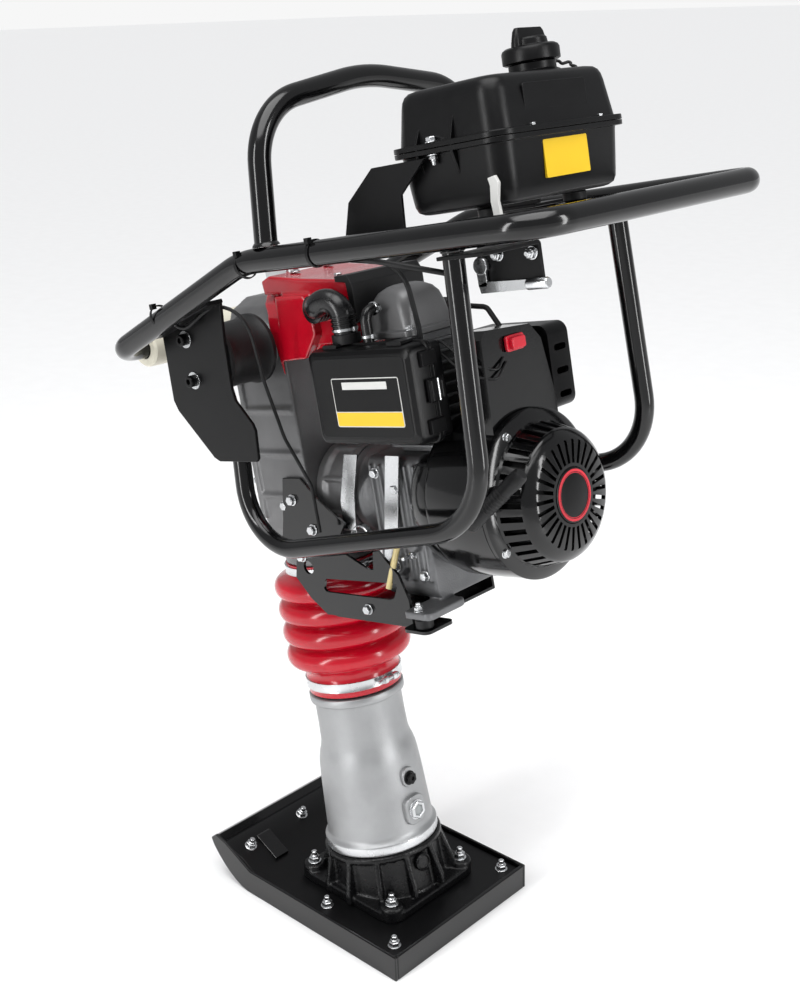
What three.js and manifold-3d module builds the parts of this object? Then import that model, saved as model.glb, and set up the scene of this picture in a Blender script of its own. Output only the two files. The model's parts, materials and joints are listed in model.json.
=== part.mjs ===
// A jumping jack rammer: a sprung foot on a raked leg, an upper unit with crankcase and engine,
// and a tube handle.
// Millimetres. The row frame is +X forwards, +Y to the machine's left, +Z up, origin under the sole's centre.
// The leg group is raked forwards: its x runs forwards across the leg, its z runs up the leg's axis.
import * as THREE from "three";
import { mergeVertices } from "three/addons/utils/BufferGeometryUtils.js";
import Module from "manifold-3d";

const wasm = await Module();
wasm.setup();

// ---- driving dimensions ----
const GAP = 0.4; // between neighbouring pieces
const RAKE = THREE.MathUtils.degToRad(10.3); // the leg leans forwards
const LEG_FOOT_X = -10.3; // where the leg's axis meets the sole

const SHOE = { width: 285, rear: -150, bend: 160, toe: 240, wall: 5, plate: 6, rim: 39, coreTop: 33 };
const LEG = { cupTop: 104, cylinderTop: 340, ringR: 83.4, lowerR: 77, midR: 72, upperR: 63.3, boreR: 55 };
const BELLOWS = { bottom: 344, foldLow: 384, foldTop: 520, top: 538, folds: 4 };
const BELLOWS_R = { fold: 90, valley: 75, cuff: 67.4, inner: 64.4 };
const GUIDE = { bottom: 258, top: 575, outerR: 50, innerR: 44.5 };
const CASE = {
  rear: -62, front: 45, halfWidth: 75, bottom: 523, top: 912,
  wall: 4.5, rearWall: 9, neckR: 60,
};
const GEAR = { centre: 722, module: 2, wheelTeeth: 68, pinionTeeth: 12, throwR: 27 };
const SHAFT = GEAR.centre - (GEAR.module * (GEAR.wheelTeeth + GEAR.pinionTeeth)) / 2;
const CONROD = { length: 150, eyeR: 14, depth: 11 };
const GRIP = { front: [-386, 124, 636], rear: [-462, 108, 697] }; // the recoil starter's bar
const ENGINE = { fanFront: -296, fanRear: -388, coverRear: -444, fanR: 104, coverR: 79 };
const HANDLE = {
  halfWidth: 206, height: 967, rear: -610, front: 124,
  frontHeight: 869, bendX: -172, tubeR: 14.2,
};
const LOOP = { topY: 149, lowY: 163, post: -447, low: 649, frontLow: 590, front: -31, top: 952, tubeR: 12 };
const HOOP = { x: -212, halfWidth: 200, shoulder: 1134, crown: 1158, tubeR: 13.5 };
const PLATE_Y = 165; // inner face of the side plates
const LEVER = { x: -462, height: 928 }; // the throttle lever's pivot
const DAMPER = { x: -20, height: 850, radius: 46, inner: 90, armR: 28 };
const TANK = { front: -343, rear: -501, halfWidth: 112, bottom: 986, seam: 1056, top: 1119, cornerR: 26 };

// ---- materials ----
function paint(color, roughness, metalness) {
  return new THREE.MeshStandardMaterial({ color, roughness, metalness });
}
const blackPaint = () => paint(0x0d0d0f, 0.32, 0.1);
const blackPlastic = () => paint(0x101012, 0.42, 0);
const rubber = () => paint(0x18181a, 0.7, 0);
const castAluminium = () => paint(0x9da0a3, 0.5, 0.8);
const steel = () => paint(0xb9bcc0, 0.35, 1);
const red = () => paint(0xb00b16, 0.25, 0);

// ---- geometry helpers ----
function solid(geometry) {
  const bare = geometry.index ? geometry.toNonIndexed() : geometry.clone();
  const points = new THREE.BufferGeometry().setAttribute("position", bare.getAttribute("position"));
  const merged = mergeVertices(points, 1e-3);
  return new wasm.Manifold(
    new wasm.Mesh({
      numProp: 3,
      vertProperties: merged.attributes.position.array,
      triVerts: new Uint32Array(merged.index.array),
    }),
  );
}

function surface(body) {
  const mesh = body.getMesh();
  const geometry = new THREE.BufferGeometry();
  geometry.setAttribute("position", new THREE.BufferAttribute(mesh.vertProperties, 3));
  geometry.setIndex(new THREE.BufferAttribute(mesh.triVerts, 1));
  geometry.computeVertexNormals();
  return geometry;
}

const join = (...pieces) => surface(pieces.map(solid).reduce((whole, piece) => whole.add(piece)));
function cut(base, ...tools) {
  const start = solid(base);
  return surface(tools.map(solid).reduce((whole, tool) => whole.subtract(tool), start));
}
const common = (a, b) => surface(solid(a).intersect(solid(b)));

// A box between two corners.
function block([x0, y0, z0], [x1, y1, z1]) {
  const geometry = new THREE.BoxGeometry(x1 - x0, y1 - y0, z1 - z0);
  return geometry.translate((x0 + x1) / 2, (y0 + y1) / 2, (z0 + z1) / 2);
}

// A round bar from a to b.
function rod(a, b, radius, sides = 20, endRadius = radius) {
  const from = new THREE.Vector3(...a);
  const to = new THREE.Vector3(...b);
  const geometry = new THREE.CylinderGeometry(endRadius, radius, from.distanceTo(to), sides);
  const turn = new THREE.Quaternion().setFromUnitVectors(
    new THREE.Vector3(0, 1, 0),
    to.clone().sub(from).normalize(),
  );
  return geometry.applyQuaternion(turn).translate(...from.add(to).multiplyScalar(0.5).toArray());
}

// A turned piece about the leg's axis, from [radius, height] points that start and end on the axis or close.
function turned(profile, sides = 32) {
  const points = profile.map(([r, h]) => new THREE.Vector2(r, h));
  return new THREE.LatheGeometry(points, sides).rotateX(Math.PI / 2);
}

// A ring about the leg's axis.
const ring = (inner, outer, low, high, sides = 32) =>
  turned([[inner, low], [outer, low], [outer, high], [inner, high], [inner, low]], sides);

// A flat shape from corner points, whichever way round they run; holes are [a, b, radius].
function flatShape(outline, holes = []) {
  const points = outline.map(([a, b]) => new THREE.Vector2(a, b));
  if (THREE.ShapeUtils.area(points) < 0) points.reverse();
  const shape = new THREE.Shape(points);
  for (const [a, b, radius] of holes) {
    shape.holes.push(new THREE.Path().absarc(a, b, radius, 0, Math.PI * 2, true));
  }
  return shape;
}

// A flat outline of [x, z] points, given thickness along y from y0 to y1; holes are [x, z, radius].
function sideplate(outline, y0, y1, holes = []) {
  const shape = flatShape(outline, holes);
  const options = { depth: Math.abs(y1 - y0), bevelEnabled: false, curveSegments: 6 };
  return new THREE.ExtrudeGeometry(shape, options).rotateX(Math.PI / 2).translate(0, Math.max(y0, y1), 0);
}

// A flat outline of [y, z] points, given thickness along x from x0 to x1.
function faceplate(outline, x0, x1, holes = []) {
  const shape = flatShape(outline, holes);
  const options = { depth: x1 - x0, bevelEnabled: false, curveSegments: 8 };
  const geometry = new THREE.ExtrudeGeometry(shape, options);
  return geometry.rotateX(Math.PI / 2).rotateZ(Math.PI / 2).translate(x0, 0, 0);
}

// Corners of a box outline with its corners rounded.
function rounded(x0, z0, x1, z1, radius, steps = 3) {
  const corners = [[x1 - radius, z0 + radius, -90], [x1 - radius, z1 - radius, 0]];
  corners.push([x0 + radius, z1 - radius, 90], [x0 + radius, z0 + radius, 180]);
  return corners.flatMap(([cx, cz, start]) =>
    Array.from({ length: steps + 1 }, (_, i) => {
      const angle = THREE.MathUtils.degToRad(start + (90 * i) / steps);
      return [cx + radius * Math.cos(angle), cz + radius * Math.sin(angle)];
    }),
  );
}

// A path of straight runs joined by round bends: each corner is [x, y, z, bend radius].
class BentPath extends THREE.Curve {
  constructor(corners, arcSteps = 5) {
    super();
    const at = corners.map((c) => new THREE.Vector3(c[0], c[1], c[2]));
    this.samples = [at[0]];
    for (let i = 1; i < at.length - 1; i++) {
      const back = at[i - 1].clone().sub(at[i]).normalize();
      const ahead = at[i + 1].clone().sub(at[i]).normalize();
      const half = back.angleTo(ahead) / 2;
      const reach = corners[i][3] / Math.tan(half);
      const middle = back.clone().add(ahead).normalize();
      const centre = at[i].clone().addScaledVector(middle, corners[i][3] / Math.sin(half));
      const first = at[i].clone().addScaledVector(back, reach).sub(centre);
      const axis = back.clone().cross(ahead).normalize();
      const sweep = half * 2 - Math.PI;
      for (let s = 0; s <= arcSteps; s++)
        this.samples.push(first.clone().applyAxisAngle(axis, (sweep * s) / arcSteps).add(centre));
    }
    this.samples.push(at[at.length - 1]);
  }
  get steps() {
    return this.samples.length - 1;
  }
  getPoint(t) {
    const place = t * this.steps;
    const i = Math.min(Math.floor(place + 1e-6), this.steps - 1);
    return this.samples[i].clone().lerp(this.samples[i + 1], place - i);
  }
  getPointAt(t) {
    return this.getPoint(t);
  }
  getTangentAt(t) {
    const i = Math.round(t * this.steps);
    const before = this.samples[Math.max(i - 1, 0)];
    const here = this.samples[i];
    const after = this.samples[Math.min(i + 1, this.steps)];
    const into = here.clone().sub(before).normalize();
    const out = after.clone().sub(here).normalize();
    return into.add(out).normalize();
  }
}

const roundSection = (radius, sides) =>
  new THREE.Shape(
    Array.from({ length: sides }, (_, i) => {
      const angle = (2 * Math.PI * i) / sides;
      return new THREE.Vector2(radius * Math.cos(angle), radius * Math.sin(angle));
    }),
  );

function tube(corners, radius, sides = 12, arcSteps = 5) {
  const path = new BentPath(corners, arcSteps);
  const options = { steps: path.steps, extrudePath: path, bevelEnabled: false };
  return new THREE.ExtrudeGeometry(roundSection(radius, sides), options);
}

// A coil spring about the leg's axis.
function coil(radius, wireR, low, high, turns) {
  const perTurn = 9;
  const helix = new THREE.Curve();
  helix.getPoint = (t) => {
    const angle = 2 * Math.PI * turns * t;
    const height = low + wireR + (high - low - 2 * wireR) * t;
    return new THREE.Vector3(radius * Math.cos(angle), radius * Math.sin(angle), height);
  };
  const options = { steps: turns * perTurn, extrudePath: helix, bevelEnabled: false };
  return new THREE.ExtrudeGeometry(roundSection(wireR, 5), options);
}

// A spur gear in the y-z plane about (0, centreZ); phase turns it in tooth pitches.
function gear(teeth, centreZ, x0, x1, phase) {
  const pitchR = (GEAR.module * teeth) / 2;
  const flank = [[-0.23, pitchR - 2.5], [-0.1, pitchR + 1.6], [0.1, pitchR + 1.6], [0.23, pitchR - 2.5]];
  const outline = [];
  for (let i = 0; i < teeth; i++)
    for (const [share, radius] of flank) {
      const angle = (2 * Math.PI * (i + phase + share)) / teeth;
      outline.push([radius * Math.sin(angle), centreZ - radius * Math.cos(angle)]);
    }
  return faceplate(outline, x0, x1);
}

// ---- the scene graph ----
const rammer = new THREE.Group();
const leg = new THREE.Group();
leg.rotation.y = RAKE;
leg.position.x = LEG_FOOT_X;
rammer.add(leg);

function add(group, name, geometry, material) {
  const mesh = new THREE.Mesh(geometry, material);
  mesh.name = name;
  group.add(mesh);
}

// ---- foot: shoe, casting and spring cylinder ----
const soleEdge = [[SHOE.rear, 0], [SHOE.bend, 0], [186, 8], [212, 26], [234, 50], [SHOE.toe, 62]];

function shoePan() {
  const inner = [[231, 66], [205, 34], [181, 15], [SHOE.bend - 3, SHOE.plate], [SHOE.rear + 6, SHOE.plate]];
  const half = SHOE.width / 2;
  const floor = [...soleEdge, ...inner, [SHOE.rear + 6, SHOE.rim], [SHOE.rear, SHOE.rim]];
  const wall = [...soleEdge, [228, 72], [206, 66], [152, SHOE.rim], [SHOE.rear, SHOE.rim]];
  return join(
    sideplate(floor, -half, half),
    sideplate(wall, half - SHOE.wall, half),
    sideplate(wall, -half, -half + SHOE.wall),
  );
}

function shoeCore() {
  const under = [[SHOE.rear + 6.5, 6.5], [SHOE.bend - 4, 6.5], [180, 15.7], [204, 34.8], [222, 57.5]];
  const over = [[210, 60], [176, 50], [146, SHOE.coreTop], [SHOE.rear + 6.5, SHOE.coreTop]];
  const half = SHOE.width / 2 - SHOE.wall - GAP;
  return sideplate([...under, ...over], -half, half);
}

// The casting stands level on the shoe and carries the raked cup that the cylinder is bolted into.
function footCasting() {
  const raked = (geometry) => geometry.rotateY(RAKE).translate(LEG_FOOT_X, 0, 0);
  const base = new THREE.Shape(rounded(-98, -92, 98, 92, 26).map(([x, y]) => new THREE.Vector2(x, y)));
  const plate = new THREE.ExtrudeGeometry(base, { depth: 16, bevelEnabled: false }).translate(0, 0, 33.5);
  const cup = raked(rod([0, 0, 12], [0, 0, LEG.cupTop - GAP], 84, 24, 80));
  const ribs = [];
  for (let degrees = 0; degrees < 360; degrees += 45) {
    const rib = sideplate([[60, 36], [104, 36], [104, 52], [84, 96], [60, 96]], -4, 4);
    ribs.push(raked(rib.rotateZ(THREE.MathUtils.degToRad(degrees))));
  }
  const lugs = [];
  for (const x of [-79, 80]) for (const y of [-74, 74]) lugs.push(rod([x, y, 33.5], [x, y, 56], 16, 14));
  const whole = join(plate, cup, ...ribs, ...lugs);
  const hollow = raked(rod([0, 0, 46], [0, 0, LEG.cupTop + 4], 62, 20));
  const level = surface(solid(whole).subtract(solid(hollow)));
  return common(level, block([-125, -105, SHOE.coreTop + GAP], [125, 105, 120]));
}

function springCylinder() {
  const outside = [[0, 104], [83.4, 104], [83.4, 119], [78.4, 121], [75.5, 180], [LEG.midR, 236], [68, 252]];
  const inside = [[69, 340], [60, 340], [LEG.boreR, 330], [LEG.boreR, 114], [0, 114]];
  return turned([...outside, [64.4, 262], [LEG.upperR, 326], [69, 328], ...inside], 28);
}

add(rammer, "shoe_pan", shoePan(), blackPaint());
add(rammer, "shoe_core", shoeCore(), blackPlastic());
add(rammer, "foot_casting", footCasting(), blackPaint());
add(leg, "spring_cylinder", springCylinder(), castAluminium());
const sightBoss = faceplate(rounded(-19, 136, 19, 178, 12), -84, -79.4);
add(leg, "sight_glass", join(sightBoss, rod([-83, 0, 157], [-88, 0, 157], 12.5, 20)), castAluminium());
add(leg, "vent_plug", rod([-75.4, 0, 205], [-83, 0, 205], 9, 6), blackPaint());
const lowerBand = ring(BELLOWS_R.cuff + GAP, 70.4, 352, 366, 22);
add(leg, "lower_band_clamp", join(lowerBand, block([-79, -10, 354], [-69.5, 14, 364])), steel());
add(leg, "lower_spring", coil(44, 4.5, 114.5, 174.5, 4), steel());

// ---- bellows and the telescoping guide ----
function bellows() {
  const { bottom, foldLow, foldTop, top, folds } = BELLOWS;
  const { fold: outerR, valley: valleyR, cuff: cuffR, inner: innerR } = BELLOWS_R;
  const pitch = (foldTop - foldLow) / folds;
  const profile = [[innerR, bottom], [cuffR, bottom], [cuffR, foldLow - 1]];
  for (let i = 0; i < folds; i++) {
    const mid = foldLow + pitch * (i + 0.5);
    profile.push([outerR - 8, mid - pitch * 0.33], [outerR, mid - pitch * 0.12]);
    profile.push([outerR, mid + pitch * 0.12], [outerR - 8, mid + pitch * 0.33]);
    if (i < folds - 1) profile.push([valleyR, mid + pitch * 0.5]);
  }
  profile.push([cuffR, foldTop + 2], [cuffR, top], [innerR, top], [innerR, bottom]);
  return turned(profile, 22);
}

add(leg, "bellows", bellows(), red());
add(leg, "upper_band_clamp", ring(BELLOWS_R.cuff + GAP, 70.4, 524, 536, 22), steel());
add(leg, "guide_cylinder", ring(GUIDE.innerR, GUIDE.outerR, GUIDE.bottom, GUIDE.top, 24), steel());
add(leg, "upper_spring", coil(38, 4, 190.5, 257, 4), steel());

// ---- piston, connecting rod and reduction gear ----
const bottomDead = GEAR.centre - GEAR.throwR;
const smallEnd = bottomDead - CONROD.length;

// The rod's fork leaves room for the connecting rod's eye through the whole stroke.
function pistonRod() {
  const forkLow = smallEnd - 82;
  return join(
    rod([0, 0, 175], [0, 0, 190], 42, 20),
    rod([0, 0, 188], [0, 0, forkLow + 2], 12, 16),
    block([-20, -14, forkLow], [20, 14, forkLow + 10]),
    block([-20, -14, forkLow + 8], [-8, 14, smallEnd + 8]),
    block([8, -14, forkLow + 8], [20, 14, smallEnd + 8]),
  );
}

function connectingRod() {
  const half = CONROD.depth / 2;
  const bigEnd = rod([-half, 0, bottomDead], [half, 0, bottomDead], 20, 18);
  const eye = rod([-half, 0, smallEnd], [half, 0, smallEnd], CONROD.eyeR, 20);
  const shank = block([-half + 1, -8, smallEnd], [half - 1, 8, bottomDead]);
  return cut(join(bigEnd, eye, shank), rod([-9, 0, bottomDead], [9, 0, bottomDead], 10.3, 20));
}

function crankGear() {
  return join(
    gear(GEAR.wheelTeeth, GEAR.centre, -38, -22, 0),
    rod([-57, 0, GEAR.centre], [-37, 0, GEAR.centre], 14, 20),
    rod([-23, 0, bottomDead], [8, 0, bottomDead], 10, 20),
  );
}

function clutchDrum() {
  const cup = rod([-118, 0, SHAFT], [-84, 0, SHAFT], 54, 20);
  const drum = cut(cup, rod([-119, 0, SHAFT], [-89, 0, SHAFT], 50, 20));
  const shaft = rod([-86, 0, SHAFT], [-37, 0, SHAFT], 8, 16);
  return join(gear(GEAR.pinionTeeth, SHAFT, -38, -22, 0.5), shaft, drum);
}

add(leg, "piston_rod", pistonRod(), steel());
add(leg, "connecting_rod", connectingRod(), steel());
add(leg, "crank_gear", crankGear(), steel());
add(leg, "clutch_drum", clutchDrum(), steel());

// ---- crankcase ----
const caseOutline = (inset, bottom) => {
  const half = CASE.halfWidth - inset;
  const top = CASE.top - inset;
  const sides = [[-50 + inset, bottom], [50 - inset, bottom], [half, 610], [half, 870]];
  return [...sides, [half * 0.8, top - 14], [half * 0.45, top], [-half * 0.45, top], [-half * 0.8, top - 14],
    [-half, 870], [-half, 610]];
};

function crankcase() {
  const outer = join(
    faceplate(caseOutline(0, 560), CASE.rear, CASE.front),
    rod([0, 0, CASE.bottom], [0, 0, 600], CASE.neckR, 20),
    mountArm(1),
    mountArm(-1),
  );
  return cut(
    outer,
    faceplate(caseOutline(CASE.wall, 592), CASE.rear + CASE.rearWall, CASE.front + 1),
    rod([0, 0, CASE.bottom - 1], [0, 0, 620], GUIDE.outerR + 1, 24),
    rod([CASE.rear - 1, 0, SHAFT], [CASE.rear + CASE.rearWall + 1, 0, SHAFT], 8.4, 20),
    rod([CASE.rear + 4, 0, GEAR.centre], [CASE.rear + CASE.rearWall + 1, 0, GEAR.centre], 14.4, 20),
  );
}

function frontCover() {
  const rim = [[-52, 604], [52, 604], [69, 640], [69, 866], [55, 896], [-55, 896], [-69, 866], [-69, 640]];
  const boss = rod([CASE.front + 10, 0, GEAR.centre], [CASE.front + 22, 0, GEAR.centre], 44, 20, 38);
  return join(faceplate(rim, CASE.front + GAP, CASE.front + 11), boss);
}

// The cast arm that carries each front rubber mount.
function mountArm(sign) {
  const { x, height, inner, armR } = DAMPER;
  return rod([x, sign * 70, height], [x, sign * (inner - GAP), height], armR, 20);
}

// The red intake housing sits behind the crankcase and wraps over its arched crown.
function intakeHousing() {
  const back = CASE.rear - 4;
  const under = [[back, 806], [back, CASE.top + 2], [-30, CASE.top + 2]];
  const outline = [...under, [-30, 934], [-100, 930], [-190, 922], [-196, 862], [-160, 836], [-110, 826]];
  const shoulder = [[back, 806], [-104, 828], [-132, 860], [-124, 908], [back, 912]];
  const reach = CASE.halfWidth + 4;
  const lining = CASE.halfWidth + 0.7;
  const outside = [[reach, 806], [reach, 874], [64, 904], [38, 920]];
  const inside = [[38, 915], [62, 901], [lining, 872], [lining, 806]];
  const flip = (points) => points.map(([y, z]) => [-y, z]).reverse();
  const arch = faceplate([...outside, ...flip(outside), ...flip(inside), ...inside], back - 1, -12);
  const slope = sideplate([[back + 4, 800], [-52, 850], [-40, 888], [-8, 922], [8, 922], [8, 800]], -90, 90);
  return cut(join(sideplate(outline, -64, 64), sideplate(shoulder, -reach, reach), arch), slope);
}

add(leg, "crankcase", crankcase(), castAluminium());
add(leg, "front_cover", frontCover(), castAluminium());
add(leg, "intake_housing", intakeHousing(), red());
const clutchBell = rod([-126, 0, SHAFT], [CASE.rear - GAP, 0, SHAFT], 64, 20);
const bellHollow = rod([-127, 0, SHAFT], [-72, 0, SHAFT], 57, 20);
const bellBore = rod([-73, 0, SHAFT], [-60, 0, SHAFT], 12, 20);
add(leg, "clutch_housing", cut(clutchBell, bellHollow, bellBore), castAluminium());

// ---- engine ----
function engineBase() {
  const body = join(
    block([-264, -60, 512], [-170, 66, 700]),
    rod([-172, 0, SHAFT], [-126 - GAP, 0, SHAFT], 62, 20),
    rod([ENGINE.fanFront + GAP, 0, SHAFT], [-262, 0, SHAFT], 56, 20),
    block([-284, 40, 504], [-240, 112, 513]),
  );
  return cut(body, rod([-300, 0, SHAFT], [-120, 0, SHAFT], 12, 20), block([-254, -50, 530], [-180, 56, 701]));
}

// Barrel and head with cooling fins.
function engineCylinder() {
  const core = block([-272, -36, 700 + GAP], [-206, 36, 846]);
  const fins = [];
  for (let z = 714; z < 846; z += 20) fins.push(block([-282, -48, z], [-198, 48, z + 5]));
  return join(core, ...fins);
}

function valveCover() {
  const outline = [[-280, 847], [-200, 847], [-200, 872], [-208, 896], [-224, 908], [-266, 904], [-280, 882]];
  return sideplate(outline, -30, 62);
}

function fanHousing() {
  const { fanR, fanRear, fanFront } = ENGINE;
  const drum = rod([fanRear, 0, SHAFT], [fanFront, 0, SHAFT], fanR, 24);
  const cowl = faceplate([[-66, 690], [58, 690], [54, 848], [-34, 842], [-52, 822], [-66, 750]], -385, -346);
  const hollow = rod([fanRear - 1, 0, SHAFT], [fanFront - 8, 0, SHAFT], fanR - 5, 24);
  const collar = rod([fanFront - 1, 0, SHAFT], [-268, 0, SHAFT], fanR - 3, 24, fanR - 12);
  const barrelGap = rod([fanFront + GAP, 0, SHAFT], [-260, 0, SHAFT], 58, 24);
  const headroom = block([fanFront + GAP, -120, 694], [-260, 120, 760]);
  const skirt = cut(collar, barrelGap, headroom);
  return cut(join(drum, cowl, skirt), hollow, rod([-310, 0, SHAFT], [-290, 0, SHAFT], 12, 20));
}

function recoilCover() {
  const { coverR, coverRear, fanRear, fanR } = ENGINE;
  const start = fanRear - GAP;
  const flange = rod([start - 6, 0, SHAFT], [start, 0, SHAFT], fanR, 24);
  const dome = rod([coverRear + 12, 0, SHAFT], [start - 5, 0, SHAFT], coverR, 24, coverR + 8);
  const face = rod([coverRear, 0, SHAFT], [coverRear + 13, 0, SHAFT], coverR - 14, 24, coverR);
  const hollow = rod([start + 1, 0, SHAFT], [coverRear + 12, 0, SHAFT], coverR - 6, 24);
  return cut(join(flange, dome, face), hollow);
}

function flywheel() {
  return join(
    rod([-425, 0, SHAFT], [-100, 0, SHAFT], 10, 20),
    rod([-116, 0, SHAFT], [-97, 0, SHAFT], 46, 20),
    rod([-352, 0, SHAFT], [-334, 0, SHAFT], 86, 24),
    rod([-428, 0, SHAFT], [-400, 0, SHAFT], 44, 20),
  );
}

add(leg, "engine_base", engineBase(), castAluminium());
add(leg, "engine_cylinder", engineCylinder(), castAluminium());
add(leg, "valve_cover", valveCover(), castAluminium());
add(leg, "fan_housing", fanHousing(), blackPaint());
add(leg, "recoil_cover", recoilCover(), blackPaint());
add(leg, "flywheel", flywheel(), steel());
add(leg, "recoil_grip", rod(GRIP.front, GRIP.rear, 8, 12), rubber());

// Air cleaner: a base tray towards the engine and a clipped cover outside it.
const airOutline = rounded(-331, 730, -157, 845, 8);
add(leg, "air_cleaner_base", sideplate(airOutline, 66, 88), blackPlastic());
const lid = sideplate(rounded(-333, 728, -155, 847, 9), 88 + GAP, 123);
const lidHollow = sideplate(rounded(-327, 734, -161, 841, 5), 88, 119);
add(leg, "air_cleaner_cover", cut(lid, lidHollow), blackPlastic());
add(leg, "filter_element", sideplate(rounded(-318, 742, -170, 832, 5), 89, 112), paint(0x8a8a6a, 0.9, 0));
const drainStub = rod([-242, 58, 716], [-242, 58, 746], 4, 12);
add(leg, "carburettor", join(block([-302, 49, 742], [-222, 65.5, 800]), drainStub), castAluminium());
const hosePath = [[-146, 65, 893], [-146, 94, 893, 18], [-196, 86, 914, 23], [-196, 86, 847.8]];
add(leg, "intake_hose", tube(hosePath, 15, 12, 4), rubber());

// Muffler and its guard on the right.
add(leg, "muffler", block([-342, -97, 740], [-268, -56, 815]), paint(0x5c5a58, 0.6, 0.8));
function mufflerGuard() {
  const shell = sideplate(rounded(-384, 729, -252, 834, 14), -106, -66);
  const hollow = sideplate(rounded(-378, 734, -258, 828, 10), -101, -65);
  const slots = [742, 771, 800].map((z) => block([-390, -99, z], [-370, -78, z + 8]));
  return cut(shell, hollow, ...slots);
}
add(leg, "muffler_guard", mufflerGuard(), blackPaint());
add(leg, "plug_cap", tube([[-236, -30.5, 872], [-236, -56, 872, 12], [-262, -60, 866]], 8, 10, 3), rubber());
add(leg, "stop_switch", block([-396, -16, 816], [-385.5, 18, 836]), red());
const breatherPath = [[-232, 62.8, 886], [-232, 84, 886, 14], [-232, 84, 847.8]];
add(leg, "breather_hose", tube(breatherPath, 7, 10, 3), rubber());

// ---- guards under the engine ----
function bellyGuard() {
  const rear = [[-238, 487], [-237, 523], [-225, 555], [-196, 584]];
  const left = sideplate([[-34, 560], [-27, 535], [-51, 507], [-78, 487], ...rear], 91, 95,
    [[-52, 545, 9], [-161, 503, 7], [-112, 552, 13], [-150, 560, 13]]);
  const right = sideplate([[-76, 566], [-76, 500], [-90, 487], ...rear], -66, -62, [[-150, 545, 13]]);
  const floor = block([-238, -66, 486], [-96, 95, 490]);
  const ear = block([-278, 60, 486], [-236, 112, 490]);
  return join(left, right, floor, ear);
}
const curvedGuard = [[-17, 670], [-52, 671], [-84, 640], [-126, 612], [-110, 591], [-68, 578], [10, 573], [-2, 610]];

add(leg, "belly_guard", bellyGuard(), blackPaint());
add(leg, "engine_foot_rubber_left", rod([-262, 98, 490 + GAP], [-262, 98, 504 - GAP], 11, 18), rubber());
add(leg, "curved_guard", sideplate(curvedGuard, 76, 80), blackPaint());

// ---- handle frame ----
function handleLoop() {
  const { halfWidth: y, height, rear, front, frontHeight, bendX, tubeR } = HANDLE;
  const side = (sign) => [
    [front, sign * y, frontHeight, 40],
    [bendX, sign * y, height, 160],
    [rear, sign * y, height, 44],
  ];
  const corners = [[front, 70, frontHeight], ...side(1), ...side(-1).reverse(), [front, -70, frontHeight]];
  const cross = rod([front, -90, frontHeight], [front, 90, frontHeight], tubeR - 0.8, 10);
  return join(tube(corners, tubeR, 10, 4), cross);
}

function lowerLoop(sign) {
  const { topY, lowY, post, low, frontLow, front, top, tubeR } = LOOP;
  const ends = [[post, sign * topY, top], [front, sign * topY, 746]];
  const corners = [ends[0], [post, sign * lowY, low, 90], [front, sign * lowY, frontLow, 80], ends[1]];
  return tube(corners, tubeR, 10, 4);
}

function hoop() {
  const { x, halfWidth, shoulder, crown, tubeR } = HOOP;
  const foot = HANDLE.height + HANDLE.tubeR + GAP;
  const side = (sign) => [[x, sign * halfWidth, foot], [x, sign * (halfWidth - 20), shoulder, 86]];
  return tube([...side(1), [x, 0, crown + 3, 260], ...side(-1).reverse()], tubeR, 10, 4);
}

// Each plate hangs from the handle tube by a flange along its top edge.
function sidePlate(sign) {
  const outline = [[62, 887], [-70, 925], [-62, 873], [-61, 796], [-91, 760], [-86, 716], [0, 717], [66, 795]];
  const plateFace = [PLATE_Y, PLATE_Y + 5];
  const flangeSpan = [PLATE_Y, HANDLE.halfWidth - HANDLE.tubeR - GAP];
  const [y0, y1] = plateFace.map((y) => y * sign).sort((a, b) => a - b);
  const [f0, f1] = flangeSpan.map((y) => y * sign).sort((a, b) => a - b);
  const flange = [[62, 887], [-70, 925], [-71, 920], [61, 882]];
  const plate = sideplate(outline, y0, y1, [[14, 880, 5], [22, 812, 5]]);
  return join(plate, sideplate(flange, f0, f1));
}

function damper(sign) {
  const { x, height, radius, inner } = DAMPER;
  return rod([x, sign * inner, height], [x, sign * (PLATE_Y - GAP), height], radius, 28);
}

// The flat bar that ties the posts together and carries the tank's rear.
function tankSupport() {
  const reach = HANDLE.halfWidth - HANDLE.tubeR - GAP;
  const low = LOOP.top + 1.2;
  const riser = (sign) => block([-462, sign * 76 - 16, low + 4], [-426, sign * 76 + 16, TANK.bottom - GAP]);
  return join(block([-470, -reach, low], [-420, reach, low + 5]), riser(1), riser(-1));
}

add(leg, "handle_loop", handleLoop(), blackPaint());
add(leg, "lower_loop_left", lowerLoop(1), blackPaint());
add(leg, "lower_loop_right", lowerLoop(-1), blackPaint());
add(leg, "guard_hoop", hoop(), blackPaint());
add(leg, "side_plate_left", sidePlate(1), blackPaint());
add(leg, "side_plate_right", sidePlate(-1), blackPaint());
add(leg, "front_damper_left", damper(1), rubber());
add(leg, "front_damper_right", damper(-1), rubber());
add(leg, "tank_support", tankSupport(), blackPaint());
const rollerRod = (half, radius, sides) =>
  rod([HANDLE.front, -half, HANDLE.frontHeight], [HANDLE.front, half, HANDLE.frontHeight], radius, sides);
const roller = cut(rollerRod(160, 27, 28), rollerRod(161, 15.4, 20));
add(leg, "front_roller", roller, paint(0xe6e2d2, 0.5, 0));

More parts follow.
